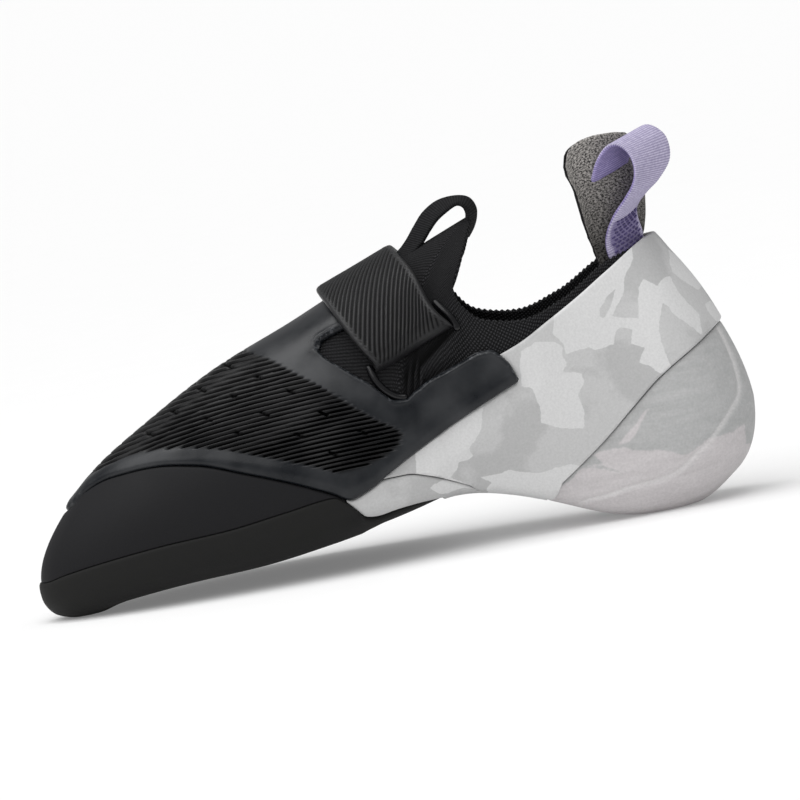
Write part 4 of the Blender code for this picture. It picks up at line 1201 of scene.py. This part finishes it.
def sole_thickness(a, t, rim):
    """Thinner at the rim, and skived down towards the back end."""
    full = SOLE_RIM_THICK + (SOLE_THICK - SOLE_RIM_THICK) * np.clip((rim - t) / SOLE_TAPER, 0, 1)
    return full * (SKIVE_SHARE + (1 - SKIVE_SHARE) * np.clip((a - SOLE_END) / SKIVE_STATIONS, 0, 1))


def cup_thickness(a, t, rim):
    """Thinner at the rim and towards the front end."""
    share = np.clip((rim - t) / HEEL_CUP_TAPER, 0, 1) * eased(HEEL_CUP_END - a, *CUP_SWELL)
    return HEEL_CUP_RIM_THICK + (HEEL_CUP_THICK - HEEL_CUP_RIM_THICK) * share


def front_sole():
    """Sole under the toes and the ball of the foot, with a plain edge flush with the rand."""
    a = stations(SOLE_END, TOE, 1.1, level=0.0, rims=True)
    inner, outer = underfoot(a, SOLE_RIM, sole_thickness, 40, SOLE_END, SOLE_EDGE)
    fit(shell("front_sole", floored(outer), inner, [SOLE]), "sole_rubber", "outsole")


def heel_shell():
    """The heel cup, with a raised line where its back plate meets each side, painted lighter along it as a
    highlight.
    """
    a = stations(0, HEEL_CUP_END, 0.6, level=0.0)
    inner, outer = underfoot(a, HEEL_LINE, cup_thickness, 100, HEEL_CUP_END, SOFT_EDGE)
    ridge = bell(line_distance(HEEL_RIDGE, outer), 0.0, HEEL_RIDGE_REACH)
    outer = outer - normals_of(outer) * (HEEL_RIDGE_HIGH * ridge)[..., None]
    marks = {"stain": patches(STAIN_LIGHT, STAIN_DARK, outer), "ridge": HEEL_RIDGE_PAINTED_HIGHLIGHT * ridge}
    fit(shell("heel_shell", floored(outer), inner, [CUP], marks=marks), "grey_rubber", "heel_cup")


def rand_band():
    """Rubber rand round the toe between the sole and the patch."""
    a = there_and_back(stations(RAND_END, TOE, 1.0, rims=True))
    low, high = line_at(SOLE_RIM, a, SEAM), line_at(PATCH_LOW, a, -SEAM)
    t, up, down = rows_between(a, np.minimum(low, high), high, 24)
    full = RAND_THICK * blunt(up, RAND_FOOT_ROUND, RAND_FOOT_EDGE) * blunt(down, EDGE_ROUND, THIN_EDGE)
    outer, inner = skin(a[:, None], t, GAP + full), skin(a[:, None], t, GAP)
    fit(shell("rand_band", outer, inner, [RAND]), "rand_rubber", "toe_rand")


def rib_depth(points, middle):
    """Depth of the patch's grooves and vent slots at points of its surface, and 1 between its borders.

    A groove is a trapezium across its line. It ends a short way along the line from either border.
    """
    x, z = points[..., 0], seen_height(points, middle)
    rise, low, back = table(RIB_RISE), table(RIB_BORDER_LOW), table(RIB_BORDER_BACK)
    across = (z - rise(x)) / RIB_PITCH
    line = np.round(across)
    depth = RIB_DEPTH * np.clip((RIB_HALF_TROUGH - np.abs(across - line)) / RIB_WALL, 0, 1)
    level = line * RIB_PITCH + rise(x)
    for border, way in ((low, 1), (back, -1)):
        slope = np.abs(rise(x + 0.5) - rise(x - 0.5) - border(x + 0.5) + border(x - 0.5))
        inwards = way * (level - border(x)) / np.maximum(slope, RIB_FLATTEST)
        depth = depth * np.clip(0.5 + inwards / RIB_END, 0, 1)
    for slot_x, slot_z in VENT_SLOTS:
        dx, dz = x - slot_x, z - slot_z
        along = dx * VENT_WAY[0] + dz * VENT_WAY[1]
        beside = dz * VENT_WAY[0] - dx * VENT_WAY[1]
        cut = np.clip((VENT_LONG / 2 - np.abs(along)) / VENT_WALLS[0], 0, 1)
        cut *= np.clip((VENT_WIDE / 2 - np.abs(beside)) / VENT_WALLS[1], 0, 1)
        depth = np.maximum(depth, VENT_DEEP * cut)
    blend = (-RIB_BORDER_BLEND, RIB_BORDER_BLEND)
    return depth, eased(z - low(x), *blend) * eased(back(x) - z, *blend)


def rib_rows(side, low, high, middle, low_rim, high_rim):
    """t at rows that follow the groove lines between two edges, and each row's distance from both edges.

    low_rim and high_rim scale the close rows at an edge, and are 0 where the patch runs on past it.
    """
    fine = low[:, None] + (high - low)[:, None] * np.linspace(0, 1, 241)
    points = last(side[:, None], fine)
    run = lengths(points)
    total = run[:, -1:]
    rim = close_rows(total)
    low_at, high_at = rim * low_rim[:, None], rim * high_rim[:, None]
    across = (seen_height(points, middle) - table(RIB_RISE)(points[..., 0])) / RIB_PITCH
    across = np.maximum.accumulate(across, axis=1)
    lines = np.arange(math.floor(across.min()), math.ceil(across.max()) + 1)
    levels = (lines[:, None] + np.array(RIB_PHASES)).ravel()[None, :]
    ribs = np.clip(spread(across, run, levels), low_at[:, -1:], total - high_at[:, -1:])
    at = np.concatenate([low_at, ribs, (total - high_at)[:, ::-1]], axis=1)
    return spread(run, fine, at), at, total - at


def ribbed_patch():
    """Patch over the toes and vamp: grooved, with smooth borders, a wing on each side and a lipped notch."""
    a = np.concatenate(
        [
            stations(WING_END + END_GAP, NOTCH_NEAR, 1.1, rims=True),
            stations(NOTCH_NEAR, NOTCH_START, 0.3),
            [FLAP_END],
            stations(NOTCH_START, TOE, 0.9),
        ]
    )
    a = np.unique(a)
    beside, behind = a < NOTCH_START - 1e-6, a < FLAP_END - 1e-6
    wing_tip, by_notch = a[:, None] < WING_TIP_END, a[:, None] < NOTCH_START + 1
    middle = ((ring("y_top", a) + ring("y_top", ROUND - a)) / 2)[:, None]
    slit = np.clip((NOTCH_START + SLIT_FADE - a) / SLIT_FADE, 0, 1)
    open_edge, no_edge = np.ones(len(a)), np.zeros(len(a))
    grids, inners, splits, marks = [], [], [], {"groove": [], "lip": [], "ribbed": []}
    for side in (a, ROUND - a):
        low = line_at(PATCH_LOW, side, SEAM)
        notch = np.maximum(line_at(PATCH_NOTCH, side), low)
        corner = notch[np.argmin(np.abs(a - NOTCH_START))]
        notch = np.where(beside, notch, np.maximum(corner, low))
        flap = np.where(beside, np.where(behind, 1.0, line_at(PATCH_FLAP, side)), notch)
        wing_t, from_low, from_notch = rib_rows(side, low, notch, middle, open_edge, slit)
        flap_t, from_flap, _ = rib_rows(side, flap, open_edge, middle, slit, no_edge)
        before = NOTCH_STRETCH * np.where(beside[:, None], 0.0, end_distance(a, wing_t, NOTCH_START))
        from_end = np.where(wing_tip, end_distance(a, wing_t, a[0]), FAR_AWAY)
        from_back = np.where(by_notch, end_distance(a, flap_t, FLAP_END), FAR_AWAY)
        from_notch = np.minimum(np.hypot(from_notch, before), 2 * from_end)
        from_flap_edge = np.minimum(np.hypot(from_flap, before), from_back)
        t = np.concatenate([wing_t, flap_t], axis=1)
        points = last(side[:, None], t)
        outside = np.maximum(-outline_distance(PATCH_OPENING, points[..., 0], points[..., 2]), 0)
        mouth = np.concatenate([from_notch, from_flap_edge], axis=1)
        mouth = np.minimum(mouth, MOUTH_STRETCH * outside)
        hem = np.concatenate([from_low, from_low[:, -1:] + from_flap], axis=1)
        full = PATCH_THICK * blunt(np.minimum(mouth, hem), PATCH_ROUND, SOFT_EDGE)
        full = full + NOTCH_BEAD_HIGH * bell(mouth, *NOTCH_BEAD) + HEM_SWELL_HIGH * bell(hem, *HEM_SWELL)
        full *= np.where(wing_tip, eased(from_low[:, -1:], *WING_TIP_WIDENS), 1.0)
        depth, ribbed = rib_depth(skin(side[:, None], t, GAP + PATCH_THICK), middle)
        grids.append(skin(side[:, None], t, GAP + np.maximum(full - depth, PATCH_THINNEST)))
        inners.append(skin(side[:, None], t, GAP))
        splits.append(wing_t.shape[1])
        # The groove mark carries the painted shade of the grooves.
        marks["groove"].append(np.clip(depth / RIB_DEPTH, 0, 1))
        marks["lip"].append(bell(mouth, *NOTCH_RUBBED))
        marks["ribbed"].append(ribbed)
    outer, inner, *fields = (joined(*sides) for sides in (grids, inners, *marks.values()))
    width = outer.shape[1] - 1
    near_slit, far_slit = splits[0] - 1, width - splits[1]
    keep = np.ones((len(a) - 1, width), bool)
    keep[beside[:-1], near_slit] = False
    keep[beside[:-1], far_slit] = False
    keep[behind[:-1], near_slit : far_slit + 1] = False
    piece = shell("ribbed_patch", outer, inner, [PATCH], keep=keep, marks=dict(zip(marks, fields)))
    fit(piece, "patch_rubber", "toe_patch")


def strip_edge(side, shift):
    """t of the seam between arch band and printed rand, which turns under the foot towards the heel."""
    tuck = STRIP_TUCK + (1 - STRIP_TUCK) * eased(from_heel(side), *STRIP_TURN)
    return np.minimum(line_at(STRIP_TOP, side, shift), tuck)


def camo_rand():
    """Printed sling rand: over the heel cup's edge, forwards under each wing to a point beside the sole.

    It thins towards the wing, lies flat under it, and stands up in a lip behind the collar at the heel.
    """
    near = np.unique(np.concatenate([stations(0, STRIP_END, 0.8), [WING_END, HEEL_CUP_END]]))
    a = np.concatenate([-near[:0:-1], near])
    forward, side = np.abs(a), np.mod(a, ROUND)
    low = line_at(HEEL_LINE, side, SEAM)
    low = low + (strip_edge(side, SEAM) - low) * eased(forward, *RAND_TO_STRIP)
    low = np.where(forward < WING_END, low, np.minimum(low, line_at(PATCH_LOW, side)))
    rim = line_at(HEEL_RAND_TOP, side, -SEAM)
    lip = rim + HEEL_LIP * eased(HEEL_LIP_END - forward, 0.0, HEEL_LIP_FADE)
    top = np.where(forward < HEEL_LIP_END, lip, np.minimum(rim, COLLAR_EDGE))
    high = top + (line_at(PATCH_LOW, side, RAND_LAP) - top) * eased(forward, *RAND_UNDER_WING)
    t, up, down = rows_between(side, low, np.maximum(high, low + RAND_NARROWEST), 64)
    points = last(side[:, None], np.minimum(t, 1.0))
    wing = outline_distance(WING_OVER_RAND, points[..., 0], points[..., 2])
    thick = HEEL_RAND_THICK * (RAND_BY_WING + (1 - RAND_BY_WING) * eased(-wing, *RAND_WING_FADE))
    thick = thick * (1 - RAND_THINNED * eased(-t, *RAND_THINS))
    at_heel = eased(HEEL_LIP_SWELL_END - forward, 0.0, HEEL_LIP_FADE)[:, None]
    edge = np.minimum(up, down / (1.0 - HEEL_LIP_SHARPER * at_heel))
    offset = GAP + thick * blunt(edge, RAND_ROUND, THIN_EDGE)
    offset = offset + HEEL_LIP_SWELL * at_heel * eased(-down, -HEEL_LIP_SWELL_DEEP, 0.0)
    covered = eased(wing, *RAND_COVERED)
    outer = skin(side[:, None], t, offset + (RAND_COVERED_TOP - offset) * covered)
    inner = skin(side[:, None], t, GAP - RAND_COVERED_DROP * covered)
    marks = {"print": patches(PRINT_LIGHT, PRINT_DARK, outer)}
    fit(shell("camo_rand", outer, inner, [PRINTED], marks=marks), "printed_rubber", "heel_rand")


def waist_strip():
    """Light band under the arch, with an arm along each side above the sole."""
    back, end = HEEL_CUP_END + END_GAP, SOLE_END - END_GAP
    a = np.unique(np.concatenate([stations(back, STRIP_END, 1.0, level=0.0, rims=True), [end]]))
    under = (a < end)[:, None]
    ts, offsets = [], []
    for side in (a, ROUND - a):
        high = np.minimum(strip_edge(side, -SEAM) - STRIP_GAP, line_at(PATCH_LOW, side, -SEAM))
        arm = np.minimum(line_at(SOLE_RIM, side, SEAM), high)
        arm_t, up, down = rows_between(side, arm, high, 14)
        rest_t, _, _ = rows_between(side, np.full(len(a), -1.0), arm, 24)
        rest_t = np.where(under, rest_t, arm[:, None])
        edge = np.minimum(np.where(under, FAR_AWAY, up), down)
        skived = SOFT_EDGE + (1 - SOFT_EDGE) * eased(end_distance(a, rest_t, end), *STRIP_SKIVE)
        arm_share = blunt(edge[:, ::-1], STRIP_ROUND, THIN_EDGE)
        rest_share = np.where(under, skived, 1.0) + 0 * rest_t
        ts.append(np.concatenate([arm_t[:, ::-1], rest_t[:, ::-1]], axis=1))
        offsets.append(GAP + ARCH_BAND_THICK * np.concatenate([arm_share, rest_share], axis=1))
    inner, outer = both_sides(a, ts, (GAP, GAP)), both_sides(a, ts, offsets)
    count, width = arm_t.shape[1], outer.shape[1]
    keep = np.ones((len(a) - 1, width - 1), bool)
    keep[a[:-1] >= end, count - 1 : width - count] = False
    marks = {"print": patches(PRINT_LIGHT, PRINT_DARK, outer)}
    fit(shell("waist_strip", outer, inner, [PRINTED], keep=keep, marks=marks), "light_rubber", "arch_band")


def strap_line(plane, mirrored):
    """Where a plane square to the instep meets the last, from the ridge down: stations, t and points."""
    a = np.linspace(*STRAP_STATIONS, 281)
    side = ROUND - a if mirrored else a
    ts = np.linspace(0.1, 1.0, 201)
    past = last(side[:, None], ts[None, :]) @ INSTEP - plane
    met = (past.max(axis=1) > 0) & (past[:, 0] < 0)
    side, t = side[met][::-1], crossing(ts, past)[met][::-1]
    return side, t, last(side, t)


def strap_side(rows, ends, mirrored, count, planes):
    """Points of the last under the strap down one side, and the strap's low and high levels over them.

    Points are shared out by length along each line, and a polynomial through them bridges the hollows.
    The strap lies closer behind than in front at the ridge.
    """
    square = np.array([-INSTEP[2], 0.0, INSTEP[0]])
    shares = np.linspace(0, 1, count)
    powers = np.vander(shares, STRAP_EASE + 1)
    knots, low, high = zip(*rows)
    levels = [monotone(knots, level, shares) for level in (low, high)]
    lean = STRAP_LEAN * np.clip(1 - shares / STRAP_LEAN_REACH, 0, 1)
    grid, offsets = [], []
    for behind, plane in zip(np.linspace(0, 1, len(planes)), planes):
        end_height = ends[0] + (ends[1] - ends[0]) * behind + STRAP_END_BOW * (2 * behind - 1) ** 4
        side, t, points = strap_line(plane, mirrored)
        run = lengths(points[None])[0]
        at = shares * np.interp(-end_height, -(points @ square), run)
        under = last(np.interp(at, run, side), np.interp(at, run, t))
        grid.append(powers @ np.polyfit(shares, under, STRAP_EASE))
        offsets.append([level - behind * lean for level in levels])
    return np.array(grid), np.moveaxis(np.array(offsets), 1, 0)


def instep_strap():
    """Strap bridging the instep: slanting ribs on its face, rounded edges, ends tucked down at the notch."""
    width = np.linspace(STRAP_FRONT, STRAP_BACK, 9)
    near, near_levels = strap_side(STRAP_INNER_SIDE, STRAP_ENDS_IN, False, 190, width)
    far, far_levels = strap_side(STRAP_OUTER_SIDE, STRAP_ENDS_OUT, True, 180, width)
    near[:, 0] = (near[:, 0] + far[:, 0]) / 2
    whole = np.concatenate([near[:, ::-1], far[:, 1:]], axis=1)
    levels = np.concatenate([near_levels[..., ::-1], far_levels[..., 1:]], axis=2)
    rim = RIM / (STRAP_BACK - STRAP_FRONT)
    rims = np.concatenate([rim, np.linspace(rim[-1], 1 - rim[-1], 90)[1:-1], 1 - rim[::-1]])
    cubic = np.vander(rims, 4) @ np.linalg.pinv(np.vander(np.linspace(0, 1, len(width)), 4))
    whole = np.einsum("ij,jkl->ikl", cubic, whole)
    low, high = (cubic @ level for level in levels)
    lift = normals_of(whole)
    down = lengths(whole)
    ridge = down[:, near.shape[1] - 1 : near.shape[1]]
    back = lengths(np.swapaxes(whole, 0, 1)).T
    across = (ridge - down) * math.sin(STRAP_RIB_LEAN) + back * math.cos(STRAP_RIB_LEAN)
    edge = np.minimum(np.minimum(back, back[-1:] - back), np.minimum(down, down[:, -1:] - down))
    wave = np.cos(2 * np.pi * across / STRAP_RIB_PITCH) * eased(edge, *STRAP_RIB_FADE)
    middle = (low + high) / 2
    face = middle + (high - middle) * rounded(edge, EDGE_ROUND) + STRAP_RIB_HIGH * wave
    lining = middle + (low - middle) * blunt(edge, EDGE_ROUND, STRAP_EDGE)
    outer, inner = whole + lift * face[..., None], whole + lift * lining[..., None]
    # Mask of the painted shade in the furrows.
    marks = {"painted_furrow_shade": np.clip(-wave, 0, 1)}
    fit(shell("instep_strap", outer, inner, [STRAP], marks=marks), "strap_rubber", "strap")


def pull_tab():
    """Pull tab that stands up from inside the collar: a U in plan, with rounded front corners."""
    turn = np.linspace(-1, 1, 90)
    top = monotone(*zip(*TAB_TOP), np.abs(turn)) - TAB_FAR_DROP * eased(turn, *TAB_FAR_TURN)
    low = TAB_ROWS[0].z
    z = low + (top - low)[None, :] * np.linspace(0, 1, 90)[:, None]
    x_front, x_back, half = (monotone(*zip(*[(r.z, r[k]) for r in TAB_ROWS]), z) for k in (1, 2, 3))
    angle = turn[None, :] * np.pi / 2
    outer = np.stack([x_front + (x_back - x_front) * np.cos(angle), half * np.sin(angle), z], -1)
    inner = outer + normals_of(outer) * TAB_THICK
    run = lengths(outer)
    up = lengths(np.swapaxes(outer, 0, 1)).T
    edge = np.minimum(np.minimum(run, run[:, -1:] - run), up[-1:] - up)
    pinch = (0.5 * (1 - rounded(edge, TAB_ROUND)))[..., None]
    uv = grid_uv(outer)
    outer, inner = outer + (inner - outer) * pinch, inner + (outer - inner) * pinch
    fit(shell("pull_tab", outer, inner, [FELT, LINING], uv), "grey_fabric", "heel_tab")


def tape(rows, thick, count, across):
    """A flat tape between two edges, bowed outwards by crown: middle grid, normals, half thickness and UV.

    Outwards is the wearer's inner side, a ninth of the way along.
    """
    rows = flowing(rows, count)
    near, far, crown = rows[:, None, :3], rows[:, None, 3:6], rows[:, 6:]
    share = np.sin(np.linspace(-np.pi / 2, np.pi / 2, across))[None, :]
    points = near + (far - near) * (0.5 + 0.5 * share)[..., None]
    lift = normals_of(points)
    lift = -lift * np.sign(lift[count // 9, across // 2, 1])
    points = points + lift * (crown * (1 - share * share))[..., None]
    width = np.linalg.norm(far - near, axis=-1) / 2
    half = thick / 2 * blunt(width * (1 - np.abs(share)), TAPE_EDGE_ROUND, THIN_EDGE)
    run = lengths(points[None, :, across // 2])[0][:, None]
    uv = np.stack(np.broadcast_arrays(run, width * share), -1)
    return points, lift, half, uv


def loop_stitching(face, lift, run, side):
    """Block of violet stitches on the webbing: rows of short threads across it, every other row shifted.

    run and side are the distances of the face's rows along the tape and of its columns from the middle. A
    thread runs straight across between columns, and arches a little out of the face.
    """
    rows, starts = np.arange(*SEWN, STITCH_ROW), np.arange(*STITCH_SPAN, STITCH_PITCH)
    along, beside = (v.ravel() for v in np.meshgrid(rows, starts, indexing="ij"))
    beside = beside + STITCH_SHIFT * (np.round((along - SEWN[0]) / STITCH_ROW) % 2)
    at = np.linspace(0, 1, STITCH_POINTS)
    across = beside[:, None] + STITCH_LONG * at
    i = np.searchsorted(run, along)[:, None]
    j = np.clip(np.searchsorted(side, across) - 1, 0, len(side) - 2)
    share = np.clip((across - side[j]) / (side[j + 1] - side[j]), 0, 1)[..., None]
    path = face[i, j] * (1 - share) + face[i, j + 1] * share
    path = path + lift[i, j] * (STITCH_ARCH * np.sin(np.pi * at) - STITCH_SUNK)[:, None]
    threads = np.concatenate([tube(line, STITCH_RADIUS, STITCH_SIDES) for line in path])
    keep = np.ones((len(threads) - 1, STITCH_SIDES), bool)
    keep[STITCH_POINTS - 1 :: STITCH_POINTS] = False
    fit(shell("loop_stitching", threads, None, [THREAD], keep=keep), "lilac_webbing")


def webbing_loop():
    """Lilac webbing with fine ribs across it, sewn to the tab at its lower end."""
    points, lift, half, uv = tape(HEEL_LOOP, HEEL_LOOP_THICK, 460, 25)
    run, side = uv[..., 0], uv[..., 1]
    half = half + WEBBING_RIB_HIGH * np.cos(2 * np.pi * run / WEBBING_RIB_PITCH)
    outer, inner = points + lift * half[..., None], points - lift * half[..., None]
    sewn = eased(SEWN[1] - run, *SEWN_FADE) * eased(SEWN_HALF_WIDTH - np.abs(side), *SEWN_FADE)
    marks = {"sewn": SEWN_SHADE * sewn}
    # Painted shade: the inner face and rim take the darker copy of the webbing.
    piece = shell("webbing_loop", outer, inner, [WEBBING, WEBBING_BACK_PAINTED_SHADE], uv, marks=marks)
    fit(piece, "lilac_webbing", "heel_loop")
    loop_stitching(outer, lift, run[:, 12], side[60])


def tape_loop():
    """Plain black tape loop on the tongue."""
    points, lift, half, uv = tape(TONGUE_LOOP, TONGUE_LOOP_THICK, 160, 15)
    outer, inner = points + lift * half[..., None], points - lift * half[..., None]
    fit(shell("tape_loop", outer, inner, [TAPE], uv), "black_tape", "tongue_loop")


def slot_beads():
    """Glossy beads at both ends of the mouth that the strap's end goes into."""
    for name, line in zip(("slot_bead_front", "slot_bead_back"), SLOT_BEAD):
        path = flowing(on_side(line, SLOT_BEAD_OUT), 120)
        fit(shell(name, tube(path, SLOT_BEAD_RADIUS), None, [BEAD]), "patch_rubber")


def soft_floor():
    """Pale studio floor: a wide disc of rings, lit a little from within so that shadows on it stay pale."""
    turn = np.linspace(0, 2 * np.pi, 65)
    x, y = FLOOR_RINGS[:, None] * np.cos(turn), FLOOR_RINGS[:, None] * np.sin(turn)
    top = np.stack([x, y, np.zeros_like(x)], -1) / MM + BOX_MIDDLE
    made, tree, shader = start_material(
        "studio_paper",
        Roughness=0.9,
        Specular_IOR_Level=0.0,
        Emission_Color=(1.0, 1.0, 1.0, 1.0),
        Emission_Strength=FLOOR_GLOW,
    )
    place_at = add(tree, "TexCoord", {})["Object"]
    fibre = add(tree, "TexNoise", {"Vector": place_at, "Scale": every(25)})[0]
    tint = add(tree, "Mix", {0: fibre, 6: colour("#dedede"), 7: colour("#e0e0e0")}, data_type="RGBA")[2]
    join(tree, shader, Base_Color=tint)
    floor = shell("studio_floor", top, top - np.array([0.0, 0.0, FLOOR_THICK]), [made])


def studio_light():
    """White surroundings, one broad high sun for an even floor, and one soft panel for the gloss."""
    world = bpy.data.worlds.new("studio")
    bpy.context.scene.world = world
    world.use_nodes = True
    world.node_tree.nodes["Background"].inputs["Color"].default_value = (1.0, 1.0, 1.0, 1.0)
    world.node_tree.nodes["Background"].inputs["Strength"].default_value = SURROUND_POWER
    for name, kind, spread_key, size, power, where in LAMPS:
        lamp = bpy.data.lights.new(name, kind)
        lamp.energy = power
        setattr(lamp, spread_key, size)
        held = bpy.data.objects.new(name, lamp)
        held.location = where
        aim = np.array(where) - np.array(LAMP_TARGET)
        tilt = math.atan2(math.hypot(aim[0], aim[1]), aim[2])
        held.rotation_euler = (tilt, 0.0, math.atan2(aim[1], aim[0]) + math.pi / 2)
        bpy.context.scene.collection.objects.link(held)


def photo_camera():
    """The photograph's angle: square to the inner side, tilted down a little and rolled."""
    lens = bpy.data.cameras.new("photo")
    lens.sensor_width = SENSOR
    lens.lens = SENSOR * VIEW_DISTANCE / VIEW_WIDTH
    lens.clip_end = VIEW_FAR_END
    ahead = np.array([0.0, math.cos(VIEW_TILT), -math.sin(VIEW_TILT)])
    right = np.array([1.0, 0.0, 0.0])
    up = np.cross(right, ahead)
    turned_right = right * math.cos(VIEW_ROLL) - up * math.sin(VIEW_ROLL)
    turned_up = right * math.sin(VIEW_ROLL) + up * math.cos(VIEW_ROLL)
    world = np.eye(4)
    world[:3, :3] = np.stack([turned_right, turned_up, -ahead], axis=1)
    world[:3, 3] = VIEW_TARGET - ahead * VIEW_DISTANCE
    held = bpy.data.objects.new("photo", lens)
    held.matrix_world = world.T.tolist()
    bpy.context.scene.collection.objects.link(held)
    bpy.context.scene.camera = held


photo_camera()
studio_light()
soft_floor()
knit_bootie()
front_sole()
heel_shell()
rand_band()
ribbed_patch()
camo_rand()
waist_strip()
instep_strap()
pull_tab()
webbing_loop()
tape_loop()
slot_beads()
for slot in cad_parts["insole"].material_slots:
    slot.material = BOARD
bpy.context.scene.view_settings.view_transform = "Standard"
